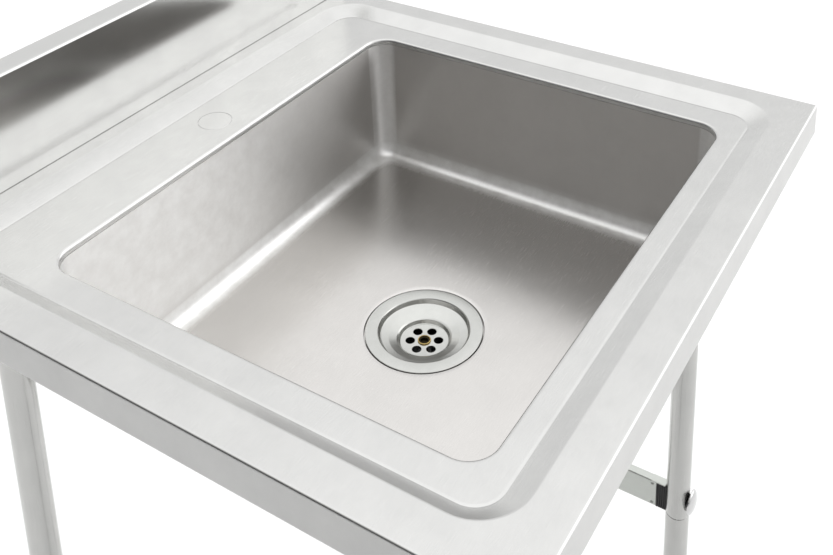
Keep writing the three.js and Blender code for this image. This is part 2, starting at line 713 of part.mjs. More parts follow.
// pad on the floor, hollowed from above for the end of the stud
function footPad() {
  return turned([
    [0, 0], [PAD_R - 1, 0], [PAD_R, 1], [PAD_R, 4.5], [PAD_R - 1.5, 6.5], [9.6, 13.2],
    [8.8, 14.4], [4.8, 14.4], [4.8, 4.2], [0, 4.2],
  ], LEG_SEGMENTS);
}

for (const [tag, sideX, sideY] of [['fl', -1, -1], ['fr', 1, -1], ['bl', -1, 1], ['br', 1, 1]]) {
  const leg = new THREE.Group();
  leg.position.set(sideX * LEG_X, sideY * LEG_Y, 0);
  sink.add(leg);
  place(leg, `leg_socket_${tag}`, legSocket(sideX), 'zinc');
  place(leg, `upper_leg_${tag}`, upperLeg(sideY), 'tubeSteel');
  place(leg, `socket_screw_${tag}`, socketScrew(sideY), 'zinc');
  place(leg, `lower_leg_${tag}`, lowerLeg(), 'tubeSteel');
  place(leg, `rail_bolt_${tag}`, railBolt(sideY), 'bright');
  place(leg, `bolt_saddle_${tag}`, boltSaddle(sideY), 'black');
  place(leg, `rail_plug_${tag}`, railPlug(sideY), 'black');
  place(leg, `foot_insert_${tag}`, footInsert(), 'black');
  place(leg, `foot_stud_${tag}`, footStud(), 'zinc');
  place(leg, `foot_pad_${tag}`, footPad(), 'black');
}

// ------------------------------------------------------------ side rails
// Rectangular tubes with chamfered outer edges.
function sideRail(sideX) {
  const chamfer = 1.0;
  const x = RAIL_WIDTH / 2;
  const z = RAIL_HEIGHT / 2;
  const boreX = x - RAIL_WALL;
  const boreZ = z - RAIL_WALL;
  const outline = [
    [-x + chamfer, -z], [x - chamfer, -z], [x, -z + chamfer], [x, z - chamfer],
    [x - chamfer, z], [-x + chamfer, z], [-x, z - chamfer], [-x, -z + chamfer],
  ];
  const bore = [[-boreX, -boreZ], [-boreX, boreZ], [boreX, boreZ], [boreX, -boreZ]];
  const moved = (pairs) => pairs.map(([dx, dz]) => [sideX * LEG_X + dx, RAIL_Z + dz]);
  return prismY(moved(outline), RAIL_END, [moved(bore)]);
}

for (const [side, sideX] of SIDES) {
  place(sink, `side_rail_${side}`, sideRail(sideX), 'railSteel');
}

export default sink;
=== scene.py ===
import json
import math
import bpy
import bmesh
from mathutils import Matrix, Vector

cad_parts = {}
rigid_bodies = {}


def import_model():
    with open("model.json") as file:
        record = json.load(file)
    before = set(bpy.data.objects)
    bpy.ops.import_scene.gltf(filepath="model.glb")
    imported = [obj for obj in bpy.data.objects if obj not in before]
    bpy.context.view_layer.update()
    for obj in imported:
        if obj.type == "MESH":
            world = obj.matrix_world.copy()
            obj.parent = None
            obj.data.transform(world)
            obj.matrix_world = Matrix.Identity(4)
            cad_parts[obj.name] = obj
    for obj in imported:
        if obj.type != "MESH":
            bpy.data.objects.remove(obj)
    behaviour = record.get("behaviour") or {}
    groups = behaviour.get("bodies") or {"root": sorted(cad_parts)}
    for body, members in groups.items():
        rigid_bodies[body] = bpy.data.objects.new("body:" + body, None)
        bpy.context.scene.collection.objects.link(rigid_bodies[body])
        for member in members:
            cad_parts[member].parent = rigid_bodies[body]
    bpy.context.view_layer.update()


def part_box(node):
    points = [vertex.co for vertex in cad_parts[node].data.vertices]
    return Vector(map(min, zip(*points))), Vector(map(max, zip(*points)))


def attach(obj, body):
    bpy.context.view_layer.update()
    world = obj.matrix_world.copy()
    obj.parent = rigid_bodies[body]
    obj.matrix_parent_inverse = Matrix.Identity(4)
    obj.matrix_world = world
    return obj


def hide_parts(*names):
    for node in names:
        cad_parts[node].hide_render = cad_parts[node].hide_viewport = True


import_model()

MM = 0.001
TAGS = ["fl", "fr", "bl", "br"]


def span(node):
    lo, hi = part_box(node)
    return [v / MM for v in lo], [v / MM for v in hi]


# ------------------------------------------------------------ datums, mm
t_lo, t_hi = span("worktop")
b_lo, b_hi = span("bowl")
s_lo, s_hi = span("waste_strainer")
k_lo, k_hi = span("tap_hole_blank")
p_lo, p_hi = span("splashback")
SHEET = 1.2
HX, HY, RIM, APRON_Z = t_hi[0], t_hi[1], t_hi[2], t_lo[2]
DECK = k_hi[2]
DROP = RIM - DECK
TAP_R = k_hi[0]
TAP_Y = (k_lo[1] + k_hi[1]) / 2
BOWL_TOP = b_hi[2]
OX = b_hi[0] - SHEET
OY0, OY1 = b_lo[1] + SHEET, b_hi[1] - SHEET
FLOOR = b_lo[2] + 3.6
FLANGE_Z = s_hi[2]
FLANGE_R = s_hi[0]
DRAIN_Y = (s_lo[1] + s_hi[1]) / 2
BACK_FLAT, BACK_RUN, DECK_R, OPEN_R = 41.0, 21.0, 22.0, 22.0
FLAT = {"left": 31.0, "right": 23.5, "front": 29.5}      # flat rim on each side
RUN = {"left": 15.0, "right": 20.3, "front": 18.5}       # plan width of the double bend
LIP = 14.0


# ------------------------------------------------------------ mesh helpers
def build(name, verts, faces, mat, body="frame", nodes=(), sharp=35.0, attr=None):
    me = bpy.data.meshes.new(name)
    me.from_pydata([Vector(v) * MM for v in verts], [], faces)
    ob = bpy.data.objects.new(name, me)
    bpy.context.collection.objects.link(ob)
    if attr is not None:
        layer = me.attributes.new("tone", "FLOAT", "POINT")
        for i, v in enumerate(attr):
            layer.data[i].value = v
    finish_mesh(ob, mat, sharp)
    place(ob, body, nodes)
    return ob


def finish_mesh(ob, mat, sharp=35.0):
    me = ob.data
    bm = bmesh.new()
    bm.from_mesh(me)
    bmesh.ops.remove_doubles(bm, verts=bm.verts, dist=1e-7)
    bmesh.ops.dissolve_degenerate(bm, edges=bm.edges, dist=1e-8)
    bmesh.ops.recalc_face_normals(bm, faces=bm.faces)
    limit = math.radians(sharp)
    for f in bm.faces:
        f.smooth = True
    for e in bm.edges:
        if len(e.link_faces) == 2:
            e.smooth = e.calc_face_angle(0.0) < limit
    bm.to_mesh(me)
    bm.free()
    me.materials.clear()
    me.materials.append(mat)


def place(ob, body, nodes):
    if body:
        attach(ob, body)
    if nodes:
        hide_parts(*nodes)


def fillet(points, radii, n=4, closed=True):
    """2-D outline with its corners rounded. radii is one number or one for each corner."""
    out = []
    count = len(points)
    if not isinstance(radii, (list, tuple)):
        radii = [radii] * count
    for i, p in enumerate(points):
        r = radii[i]
        a, b = points[i - 1], points[(i + 1) % count]
        if r <= 0 or (not closed and i in (0, count - 1)):
            out.append(tuple(p))
            continue
        u = Vector((a[0] - p[0], a[1] - p[1]))
        v = Vector((b[0] - p[0], b[1] - p[1]))
        lu, lv = u.length, v.length
        u, v = u / lu, v / lv
        ang = math.acos(max(-1, min(1, u.dot(v))))
        if abs(math.pi - ang) < 1e-3:
            out.append(tuple(p))
            continue
        d = min(r / math.tan(ang / 2), lu * 0.49, lv * 0.49)
        rr = d * math.tan(ang / 2)
        c = Vector(p) + (u + v).normalized() * (rr / math.sin(ang / 2))
        s = Vector(p) + u * d - c
        e = Vector(p) + v * d - c
        a0, a1 = math.atan2(s.y, s.x), math.atan2(e.y, e.x)
        while a1 - a0 > math.pi:
            a1 -= 2 * math.pi
        while a1 - a0 < -math.pi:
            a1 += 2 * math.pi
        for k in range(n + 1):
            t = a0 + (a1 - a0) * k / n
            out.append((c.x + rr * math.cos(t), c.y + rr * math.sin(t)))
    return out


def lathe(profile, seg=64, centre=(0, 0, 0), axis="z", sign=1):
    """Closed body turned from an [r, h] outline, about z, or about y towards sign."""
    verts, faces = [], []
    n = len(profile)
    for k in range(seg):
        t = 2 * math.pi * k / seg
        for r, h in profile:
            x, y, z = r * math.cos(t), r * math.sin(t), h
            if axis == "y":
                x, y, z = x, h * sign, y
            verts.append((x + centre[0], y + centre[1], z + centre[2]))
    for k in range(seg):
        m = (k + 1) % seg
        for i in range(n):
            j = (i + 1) % n
            if profile[i][0] == 0 and profile[j][0] == 0:
                continue
            faces.append((k * n + i, m * n + i, m * n + j, k * n + j))
    return verts, faces


def skin(rings, close=True, caps=False):
    n = len(rings[0])
    verts = [p for r in rings for p in r]
    faces = []
    last = len(rings) if close else len(rings) - 1
    for j in range(last):
        k = (j + 1) % len(rings)
        for i in range(n):
            m = (i + 1) % n
            faces.append((j * n + i, j * n + m, k * n + m, k * n + i))
    if caps:
        faces.append(tuple(range(n)))
        faces.append(tuple((len(rings) - 1) * n + i for i in range(n)))
    return verts, faces


def prism(outline, c0, c1, to3, ease=0.3):
    """Solid bar from a closed outline with slightly eased ends. to3 maps (a, b, c) to x, y, z."""
    cx = sum(p[0] for p in outline) / len(outline)
    cy = sum(p[1] for p in outline) / len(outline)

    def shrunk(d):
        out = []
        for i, p in enumerate(outline):
            a, b = outline[i - 1], outline[(i + 1) % len(outline)]
            t = Vector((b[0] - a[0], b[1] - a[1]))
            if t.length < 1e-9:
                out.append(p)
                continue
            nrm = Vector((t.y, -t.x)).normalized()
            q1 = (p[0] - nrm.x * d, p[1] - nrm.y * d)
            out.append(q1)
        return out
    area = sum(outline[i - 1][0] * p[1] - p[0] * outline[i - 1][1] for i, p in enumerate(outline))
    d = ease if area > 0 else -ease
    rings = [
        [to3(a, b, c0) for a, b in shrunk(d)],
        [to3(a, b, c0 + ease) for a, b in outline],
        [to3(a, b, c1 - ease) for a, b in outline],
        [to3(a, b, c1) for a, b in shrunk(d)],
    ]
    return skin(rings, close=False, caps=True)


def merge(*parts):
    verts, faces = [], []
    for v, f in parts:
        o = len(verts)
        verts += list(v)
        faces += [tuple(i + o for i in q) for q in f]
    return verts, faces


def rrect(x0, x1, y0, y1, r, z, n=14, m=3):
    pts = []
    corners = [(x1 - r, y1 - r, 0), (x0 + r, y1 - r, 90), (x0 + r, y0 + r, 180), (x1 - r, y0 + r, 270)]
    for k, (cx, cy, a0) in enumerate(corners):
        for i in range(n + 1):
            t = math.radians(a0 + 90.0 * i / n)
            pts.append((cx + r * math.cos(t), cy + r * math.sin(t), z))
        nx, ny, _ = corners[(k + 1) % 4]
        t = math.radians(a0 + 90)
        for i in range(1, m + 1):
            f = i / (m + 1)
            pts.append((cx + (nx - cx) * f + r * math.cos(t), cy + (ny - cy) * f + r * math.sin(t), z))
    return pts


def round_ring(cx, cy, r, z, n=14, m=3):
    count = 4 * (n + 1 + m)
    out = []
    for i in range(count):
        t = math.radians(45 + (i - n / 2) * 360.0 / count)
        out.append((cx + r * math.cos(t), cy + r * math.sin(t), z))
    return out


def drill(ob, cutters, mat, sharp=35.0):
    """Cuts the given closed bodies out of ob for good."""
    tools = []
    for i, (v, f) in enumerate(cutters):
        me = bpy.data.meshes.new("tool")
        me.from_pydata([Vector(p) * MM for p in v], [], f)
        bm = bmesh.new()
        bm.from_mesh(me)
        bmesh.ops.remove_doubles(bm, verts=bm.verts, dist=1e-7)
        bmesh.ops.recalc_face_normals(bm, faces=bm.faces)
        bm.to_mesh(me)
        bm.free()
        t = bpy.data.objects.new("tool", me)
        bpy.context.collection.objects.link(t)
        tools.append(t)
        m = ob.modifiers.new("cut", "BOOLEAN")
        m.operation, m.solver, m.object = "DIFFERENCE", "EXACT", t
    bpy.context.view_layer.update()
    deps = bpy.context.evaluated_depsgraph_get()
    new = bpy.data.meshes.new_from_object(ob.evaluated_get(deps))
    ob.modifiers.clear()
    ob.data = new
    for t in tools:
        bpy.data.objects.remove(t)
    finish_mesh(ob, mat, sharp)


# ------------------------------------------------------------ materials
def material(name):
    m = bpy.data.materials.new(name)
    m.use_nodes = True
    nt = m.node_tree
    nt.nodes.clear()
    out = nt.nodes.new("ShaderNodeOutputMaterial")
    bsdf = nt.nodes.new("ShaderNodeBsdfPrincipled")
    nt.links.new(bsdf.outputs["BSDF"], out.inputs["Surface"])
    return m, nt, bsdf


def node(nt, kind, **props):
    n = nt.nodes.new(kind)
    for k, v in props.items():
        if k in n.inputs:
            n.inputs[k].default_value = v
        else:
            setattr(n, k, v)
    return n


def noise(nt, coord, scale, detail=4.0, rough=0.55, stretch=(1, 1, 1)):
    mp = nt.nodes.new("ShaderNodeMapping")
    mp.inputs["Scale"].default_value = stretch
    nt.links.new(coord, mp.inputs["Vector"])
    tx = nt.nodes.new("ShaderNodeTexNoise")
    tx.inputs["Scale"].default_value = scale
    tx.inputs["Detail"].default_value = detail
    tx.inputs["Roughness"].default_value = rough
    nt.links.new(mp.outputs["Vector"], tx.inputs["Vector"])
    return tx.outputs["Fac"]


def remap(nt, value, a0, a1, b0, b1):
    r = nt.nodes.new("ShaderNodeMapRange")
    r.inputs["From Min"].default_value = a0
    r.inputs["From Max"].default_value = a1
    r.inputs["To Min"].default_value = b0
    r.inputs["To Max"].default_value = b1
    nt.links.new(value, r.inputs["Value"])
    return r.outputs["Result"]


def maths(nt, op, a, b):
    n = nt.nodes.new("ShaderNodeMath")
    n.operation = op
    for i, v in enumerate((a, b)):
        if isinstance(v, (int, float)):
            n.inputs[i].default_value = v
        else:
            nt.links.new(v, n.inputs[i])
    return n.outputs[0]


def ramp_colour(nt, fac, c0, c1):
    n = nt.nodes.new("ShaderNodeMix")
    n.data_type = "RGBA"
    n.inputs["A"].default_value = (*c0, 1)
    n.inputs["B"].default_value = (*c1, 1)
    nt.links.new(fac, n.inputs["Factor"])
    return n.outputs["Result"]


def brushed(name, light, dark, rough, grain=(1, 60, 60), grain_scale=22.0, spread=0.06,
            bump=0.12, wave=0.25, grind_and_sheen=False, turned_grain=False, level_grain=False):
    """Satin stainless: fine directional grain, a faint large-scale ripple, smudges and hairline scratches."""
    m, nt, bsdf = material(name)
    co = nt.nodes.new("ShaderNodeTexCoord").outputs["Object"]
    fine = noise(nt, co, grain_scale, 6.0, 0.65, grain)
    broad = noise(nt, co, 5.0, 2.0, 0.5)
    smudge = noise(nt, co, 9.0, 2.0, 0.5)
    bsdf.inputs["Metallic"].default_value = 1.0
    mottle = noise(nt, co, 26.0, 7.0, 0.68)
    tinted = maths(nt, "ADD", remap(nt, fine, 0.3, 0.7, 0, 0.55), remap(nt, mottle, 0.34, 0.66, 0, 0.45))
    colour = ramp_colour(nt, tinted, dark, light)
    r = remap(nt, fine, 0.25, 0.75, rough - spread, rough + spread)
    r = maths(nt, "ADD", r, remap(nt, smudge, 0.3, 0.75, -0.008, 0.016))
    # the tone mask lightens the colour and raises the roughness: real grinding marks in the coves, painted light on the
    # rear wall
    if grind_and_sheen:
        tone = nt.nodes.new("ShaderNodeAttribute")
        tone.attribute_name = "tone"
        streak = noise(nt, co, 60.0, 5.0, 0.7, (1, 1, 1))
        k = maths(nt, "MULTIPLY", tone.outputs["Fac"], remap(nt, streak, 0.3, 0.65, 0.55, 1.0))
        mix = nt.nodes.new("ShaderNodeMix")
        mix.data_type = "RGBA"
        nt.links.new(colour, mix.inputs["A"])
        mix.inputs["B"].default_value = (0.93, 0.93, 0.92, 1)
        nt.links.new(k, mix.inputs["Factor"])
        colour = mix.outputs["Result"]
        r = maths(nt, "ADD", r, maths(nt, "MULTIPLY", k, 0.17))
        # the walls are brushed level, which spreads what they mirror up and down
        geo = nt.nodes.new("ShaderNodeNewGeometry")
        xyz = nt.nodes.new("ShaderNodeSeparateXYZ")
        nt.links.new(geo.outputs["True Normal"], xyz.inputs["Vector"])
        upright = remap(nt, maths(nt, "ABSOLUTE", xyz.outputs["Z"], 0.0), 0.25, 0.8, 1.0, 0.0)
        tan = nt.nodes.new("ShaderNodeTangent")
        tan.direction_type, tan.axis = "RADIAL", "Z"
        nt.links.new(tan.outputs["Tangent"], bsdf.inputs["Tangent"])
        nt.links.new(maths(nt, "MULTIPLY", upright, 0.85), bsdf.inputs["Anisotropic"])
        bsdf.inputs["Anisotropic Rotation"].default_value = 0.25
        r = maths(nt, "ADD", r, maths(nt, "MULTIPLY", upright, 0.17))
    if level_grain:
        # upright faces are brushed along their length, which spreads what they mirror up and down
        geo = nt.nodes.new("ShaderNodeNewGeometry")
        xyz = nt.nodes.new("ShaderNodeSeparateXYZ")
        nt.links.new(geo.outputs["True Normal"], xyz.inputs["Vector"])
        upright = remap(nt, maths(nt, "ABSOLUTE", xyz.outputs["Z"], 0.0), 0.25, 0.7, 1.0, 0.0)
        tan = nt.nodes.new("ShaderNodeTangent")
        tan.direction_type, tan.axis = "RADIAL", "Z"
        nt.links.new(tan.outputs["Tangent"], bsdf.inputs["Tangent"])
        nt.links.new(maths(nt, "MULTIPLY", upright, 0.8), bsdf.inputs["Anisotropic"])
        bsdf.inputs["Anisotropic Rotation"].default_value = 0.25
        r = maths(nt, "ADD", r, maths(nt, "MULTIPLY", upright, 0.16))
    if turned_grain:
        tan = nt.nodes.new("ShaderNodeTangent")
        tan.direction_type, tan.axis = "RADIAL", "Z"
        nt.links.new(tan.outputs["Tangent"], bsdf.inputs["Tangent"])
        bsdf.inputs["Anisotropic"].default_value = 0.7
        bsdf.inputs["Anisotropic Rotation"].default_value = 0.25
    nt.links.new(colour, bsdf.inputs["Base Color"])
    nt.links.new(r, bsdf.inputs["Roughness"])
    b1 = nt.nodes.new("ShaderNodeBump")
    b1.inputs["Strength"].default_value = bump
    b1.inputs["Distance"].default_value = 0.00006
    nt.links.new(fine, b1.inputs["Height"])
    b2 = nt.nodes.new("ShaderNodeBump")
    b2.inputs["Strength"].default_value = wave
    b2.inputs["Distance"].default_value = 0.0012
    nt.links.new(broad, b2.inputs["Height"])
    nt.links.new(b2.outputs["Normal"], b1.inputs["Normal"])
    nt.links.new(b1.outputs["Normal"], bsdf.inputs["Normal"])
    return m


def moulded(name, colour, rough, speck=0.04, bump=0.2, coat=0.0, scale=900.0):
    """Moulded plastic or rubber: fine grain in the surface, dusty patches, faint colour change."""
    m, nt, bsdf = material(name)
    co = nt.nodes.new("ShaderNodeTexCoord").outputs["Object"]
    grain = noise(nt, co, scale, 3.0, 0.6)
    dust = noise(nt, co, 40.0, 5.0, 0.6)
    c1 = tuple(min(1.0, c * 1.25 + 0.012) for c in colour)
    nt.links.new(ramp_colour(nt, remap(nt, dust, 0.4, 0.75, 0, 1), colour, c1), bsdf.inputs["Base Color"])
    nt.links.new(remap(nt, dust, 0.3, 0.7, rough - speck, rough + speck), bsdf.inputs["Roughness"])
    bsdf.inputs["Coat Weight"].default_value = coat
    b = nt.nodes.new("ShaderNodeBump")
    b.inputs["Strength"].default_value = bump
    b.inputs["Distance"].default_value = 0.00012
    nt.links.new(grain, b.inputs["Height"])
    nt.links.new(b.outputs["Normal"], bsdf.inputs["Normal"])
    return m


M_TOP = brushed("satin_top", (0.670, 0.670, 0.660), (0.585, 0.585, 0.578), 0.24, (1, 30, 30), 80.0, 0.05, 0.03, 0.22, level_grain=True)
M_BOWL = brushed("satin_bowl", (0.695, 0.680, 0.662), (0.630, 0.616, 0.600), 0.25, (1, 24, 24), 80.0, 0.04, 0.03, 0.30, grind_and_sheen=True)
M_SPLASH = brushed("satin_splash", (0.665, 0.665, 0.655), (0.590, 0.590, 0.583), 0.16, (1, 30, 30), 80.0, 0.03, 0.025, 0.14)
M_STRAIN = brushed("bright_strainer", (0.61, 0.615, 0.595), (0.545, 0.55, 0.53), 0.20, (1, 1, 1), 90.0, 0.03, 0.06, 0.03, turned_grain=True)
M_LEG = brushed("leg_tube", (0.57, 0.57, 0.555), (0.49, 0.49, 0.48), 0.24, (40, 40, 1), 30.0, 0.05, 0.10, 0.08)
M_RAIL = brushed("rail_tube", (0.60, 0.62, 0.59), (0.54, 0.56, 0.53), 0.36, (40, 1, 40), 30.0, 0.05, 0.10, 0.10)
M_ZINC = brushed("zinc_plate", (0.55, 0.56, 0.57), (0.45, 0.46, 0.47), 0.40, (1, 1, 1), 55.0, 0.10, 0.20, 0.15)
M_BOLT = brushed("bright_bolt", (0.68, 0.68, 0.68), (0.62, 0.62, 0.62), 0.18, (1, 1, 1), 80.0, 0.04, 0.08, 0.05)
M_BRASS = brushed("brass_screw", (0.60, 0.44, 0.17), (0.42, 0.30, 0.11), 0.30, (1, 1, 1), 160.0, 0.08, 0.20, 0.05)
# painted shade: near-black brass that darkens the bolt's shallow recess, which would not fall dark by itself
M_SOCKET_SHADE = brushed("brass_socket_shade", (0.060, 0.048, 0.026), (0.020, 0.016, 0.010), 0.50, (1, 1, 1), 160.0, 0.08, 0.25, 0.05)
M_BLACK = moulded("black_plastic", (0.012, 0.012, 0.013), 0.46, 0.06, 0.25)
M_WASTE = moulded("waste_plastic", (0.022, 0.023, 0.025), 0.42, 0.05, 0.15, 0.15)
M_RUBBER = moulded("black_rubber", (0.018, 0.018, 0.018), 0.72, 0.08, 0.35)

# ------------------------------------------------------------ worktop
back_top = HY - BACK_FLAT


def top_ring(inset, y_back, r, z):
    return rrect(-HX + inset, HX - inset, -HY + inset, y_back, r, z)


def opening(out, z):
    return rrect(-OX - out, OX + out, OY0 - out, OY1 + out, OPEN_R + out, z)


upper = []
upper.append((LIP, HY - LIP, 1.0, APRON_Z))
upper.append((LIP - 0.6, HY - LIP + 0.6, 1.0, APRON_Z))
upper.append((2.4, HY - 2.4, 1.2, APRON_Z))
for i in range(7):
    t = math.radians(90.0 * i / 6)
    upper.append((1.6 - 1.6 * math.sin(t), HY - 1.6 + 1.6 * math.sin(t), 2.0, APRON_Z + 1.6 - 1.6 * math.cos(t)))
upper.append((0, HY, 2.0, APRON_Z + 3.0))
upper.append((0, HY, 2.0, RIM - 3.2))
for i in range(9):
    t = math.radians(90.0 * i / 8)
    upper.append((1.9 - 1.9 * math.cos(t), HY - 1.9 + 1.9 * math.cos(t), 2.0, RIM - 1.9 + 1.9 * math.sin(t)))
upper.append((3.2, HY - 3.2, 2.4, RIM))
CREASE = 0.34


# double bend: a tight fold at the rim, a flat slope, a tight fold at the deck
def double_bend(run, r_top, r_low, steps=8):
    th = math.atan2(DROP, run)
    for _ in range(40):                      # slope angle that meets both folds
        across = (r_top + r_low) * math.sin(th)
        fall = (r_top + r_low) * (1 - math.cos(th))
        th = math.atan2(DROP - fall, run - across)
    pts = [(r_top * math.sin(th * i / steps), r_top * (1 - math.cos(th * i / steps))) for i in range(steps + 1)]
    x0, z0 = pts[-1]
    x1 = run - r_low * math.sin(th)
    z1 = DROP - r_low * (1 - math.cos(th))
    pts += [(x0 + (x1 - x0) * k, z0 + (z1 - z0) * k) for k in (0.06, 0.5, 0.94)]
    for i in range(steps, -1, -1):
        t = th * i / steps
        pts.append((run - r_low * math.sin(t), DROP - r_low * (1 - math.cos(t))))
    # the fold is pressed a little deeper than the deck, which leaves a fine crease
    out = []
    for x, z in pts:
        out.append((x / run, z + CREASE * max(0.0, (x - x1) / (run - x1)) ** 2))
    for k in range(1, 9):
        c = 0.5 + 0.5 * math.cos(math.pi * k / 8)
        out.append((1 + 2.6 * k / 8 / run, DROP + CREASE * c))
    return out


def slope_ring(q, z):
    return rrect(-HX + FLAT["left"] + q * RUN["left"], HX - FLAT["right"] - q * RUN["right"],
                 -HY + FLAT["front"] + q * RUN["front"], back_top - q * BACK_RUN, max(DECK_R + 17 * (1 - q), 4), z)


bend = double_bend(19.0, 5.0, 3.0)
rings = [top_ring(*u) for u in upper]
rings.append(slope_ring(-0.06, RIM))
rings += [slope_ring(q, RIM - d) for q, d in bend]
rings.append(slope_ring(1.16, DECK))
EDGE_R = 3.0
rings.append(opening(EDGE_R + 1.0, DECK))
for i in range(9):
    t = math.radians(90.0 * i / 8)
    rings.append(opening(EDGE_R - EDGE_R * math.sin(t), DECK - EDGE_R + EDGE_R * math.cos(t)))
rings.append(opening(0, DECK - 3.6))
rings.append(opening(0, DECK - 5.3))
rings.append(opening(0.15, DECK - 5.5))
rings.append(opening(SHEET, DECK - 5.5))
rings.append(opening(SHEET, DECK - EDGE_R))
rings.append(opening(SHEET + 0.6, DECK - SHEET - 0.5))
rings.append(opening(EDGE_R + 0.4, DECK - SHEET))
rings += [slope_ring(q, RIM - d - SHEET) for q, d in reversed(bend)]
rings.append(top_ring(3.2, HY - 3.2, 1.2, RIM - SHEET))
rings.append(top_ring(1.7, HY - 1.7, 1.0, RIM - SHEET - 0.4))
rings.append(top_ring(SHEET, HY - SHEET, 1.0, RIM - 2.6))
rings.append(top_ring(SHEET, HY - SHEET, 1.0, APRON_Z + 2.2))
rings.append(top_ring(2.0, HY - 2.0, 0.8, APRON_Z + SHEET))
rings.append(top_ring(LIP, HY - LIP, 0.6, APRON_Z + SHEET))
v, f = skin(rings)
top = build("worktop_sheet", v, f, M_TOP, None, sharp=50)
drill(top, [lathe([(0, DECK - 8), (TAP_R + 0.22, DECK - 8), (TAP_R + 0.22, DECK + 8), (0, DECK + 8)], 96, (0, TAP_Y, 0))], M_TOP, 50)
place(top, "frame", ["worktop"])

blank = fillet([(0, DECK - SHEET), (TAP_R, DECK - SHEET), (TAP_R, DECK), (0, DECK)], [0, 0.15, 0.3, 0], 4)
v, f = lathe(blank, 96, (0, TAP_Y, 0))
build("tap_hole_disc", v, f, M_TOP, "frame", ["tap_hole_blank"])

# ------------------------------------------------------------ bowl
COVE, FALL, DRAFT = 14.0, 2.5, 4.5
foot = FLOOR + FALL + COVE
depth = BOWL_TOP - FLOOR
cove_in = DRAFT * (BOWL_TOP - foot) / depth


def wall(z, out=0.0):
    t = (BOWL_TOP - z) / depth
    e = DRAFT * t - out
    return rrect(-OX + e, OX - e, OY0 + e, OY1 - e, OPEN_R - 3 * t + out, z)


def cove(t, out=0.0):
    a = t * math.pi / 2
    e = cove_in + COVE - (COVE + out) * math.cos(a)
    z = foot - (COVE + out) * math.sin(a)
    return rrect(-OX + e, OX - e, OY0 + e, OY1 - e, max(OPEN_R - 3 + cove_in - e + 1, 7), z)


def floor_ring(t, out=0.0):
    """Floor between the foot of the cove and the drain recess, t from 0 to 1."""
    a = cove(1)
    b = round_ring(0, DRAIN_Y, RECESS_R + 2.0, FLOOR)
    k = t
    return [(p[0] * (1 - k) + q[0] * k, p[1] * (1 - k) + q[1] * k,
             p[2] * (1 - k) + q[2] * k - out) for p, q in zip(a, b)]


RECESS_R, RECESS_D, WASTE_R = FLANGE_R + 0.65, 2.4, 42.8
bowl_rings, tone = [], []


def add(ring, value):
    bowl_rings.append(ring)
    tone.extend([value] * len(ring))


add(wall(BOWL_TOP), 0.35)
add(wall(BOWL_TOP - 0.6), 0.1)
for z in (BOWL_TOP - 3, BOWL_TOP - 30, BOWL_TOP - 60, BOWL_TOP - 90, foot + 8):
    add(wall(z), 0.0)
add(wall(foot + 1.5), 0.35)
add(wall(foot), 0.8)
for i in range(1, 12):
    add(cove(i / 12), 1.0)
add(cove(1), 0.8)
add(floor_ring(0.012), 0.35)
for k in (0.05, 0.2, 0.45, 0.7, 0.9, 0.985):
    add(floor_ring(k), 0.0)
add(round_ring(0, DRAIN_Y, RECESS_R + 0.8, FLOOR), 0.1)
add(round_ring(0, DRAIN_Y, RECESS_R + 0.3, FLOOR - 0.12), 0.1)
add(round_ring(0, DRAIN_Y, RECESS_R + 0.05, FLOOR - 0.5), 0.0)
add(round_ring(0, DRAIN_Y, RECESS_R, FLOOR - RECESS_D), 0.0)
add(round_ring(0, DRAIN_Y, WASTE_R, FLOOR - RECESS_D), 0.0)
add(round_ring(0, DRAIN_Y, WASTE_R, FLOOR - RECESS_D - SHEET), 0.0)
add(round_ring(0, DRAIN_Y, RECESS_R + SHEET, FLOOR - RECESS_D - SHEET), 0.0)
add(round_ring(0, DRAIN_Y, RECESS_R + SHEET + 1.0, FLOOR - SHEET), 0.0)
for k in (0.9, 0.45, 0.05):
    add(floor_ring(k, SHEET), 0.0)
for i in range(8, -1, -1):
    add(cove(i / 8, SHEET), 0.0)
add(wall(foot + 8, SHEET), 0.0)
add(wall(BOWL_TOP - 60, SHEET), 0.0)
add(wall(BOWL_TOP, SHEET), 0.0)
# the upright corner coves were ground too
for ri, ring in enumerate(bowl_rings[:9]):
    n_ring = len(ring)
    for i in range(n_ring):
        along = i % 18
        if 1 <= along <= 13 and ri < 9:
            tone[ri * n_ring + i] = max(tone[ri * n_ring + i], 0.65)
# and the rear wall gets painted light: a lighter, rougher colour that fades out towards the right corner
for ri, ring in enumerate(bowl_rings[:7]):
    n_ring = len(ring)
    for i, p in enumerate(ring):
        if p[1] > OY1 - 12:
            k = min(1.0, max(0.0, (150.0 - p[0]) / 210.0))
            tone[ri * n_ring + i] = max(tone[ri * n_ring + i], 0.8 * k)
v, f = skin(bowl_rings)
build("bowl_shell", v, f, M_BOWL, "frame", ["bowl"], sharp=40, attr=tone)

# ------------------------------------------------------------ splashback
S0, S1, SZ0, SZ1 = p_lo[1], p_hi[1], p_lo[2], p_hi[2]


def splash_ring(x, inset):
    """Section in y and z, an open channel seen from its end, wound as one closed sheet outline."""
    w = SHEET
    outline = [(S0, SZ0), (S0, SZ1), (S1, SZ1), (S1, SZ1 - 18), (S1 - w, SZ1 - 18), (S1 - w, SZ1 - w), (S0 + w, SZ1 - w), (S0 + w, SZ0)]
    pts = fillet(outline, [0.9, 2.4, 2.0, 0.3, 0.3, 1.0, 1.2, 0.2], 6)
    return [(x, y, z) for y, z in pts]


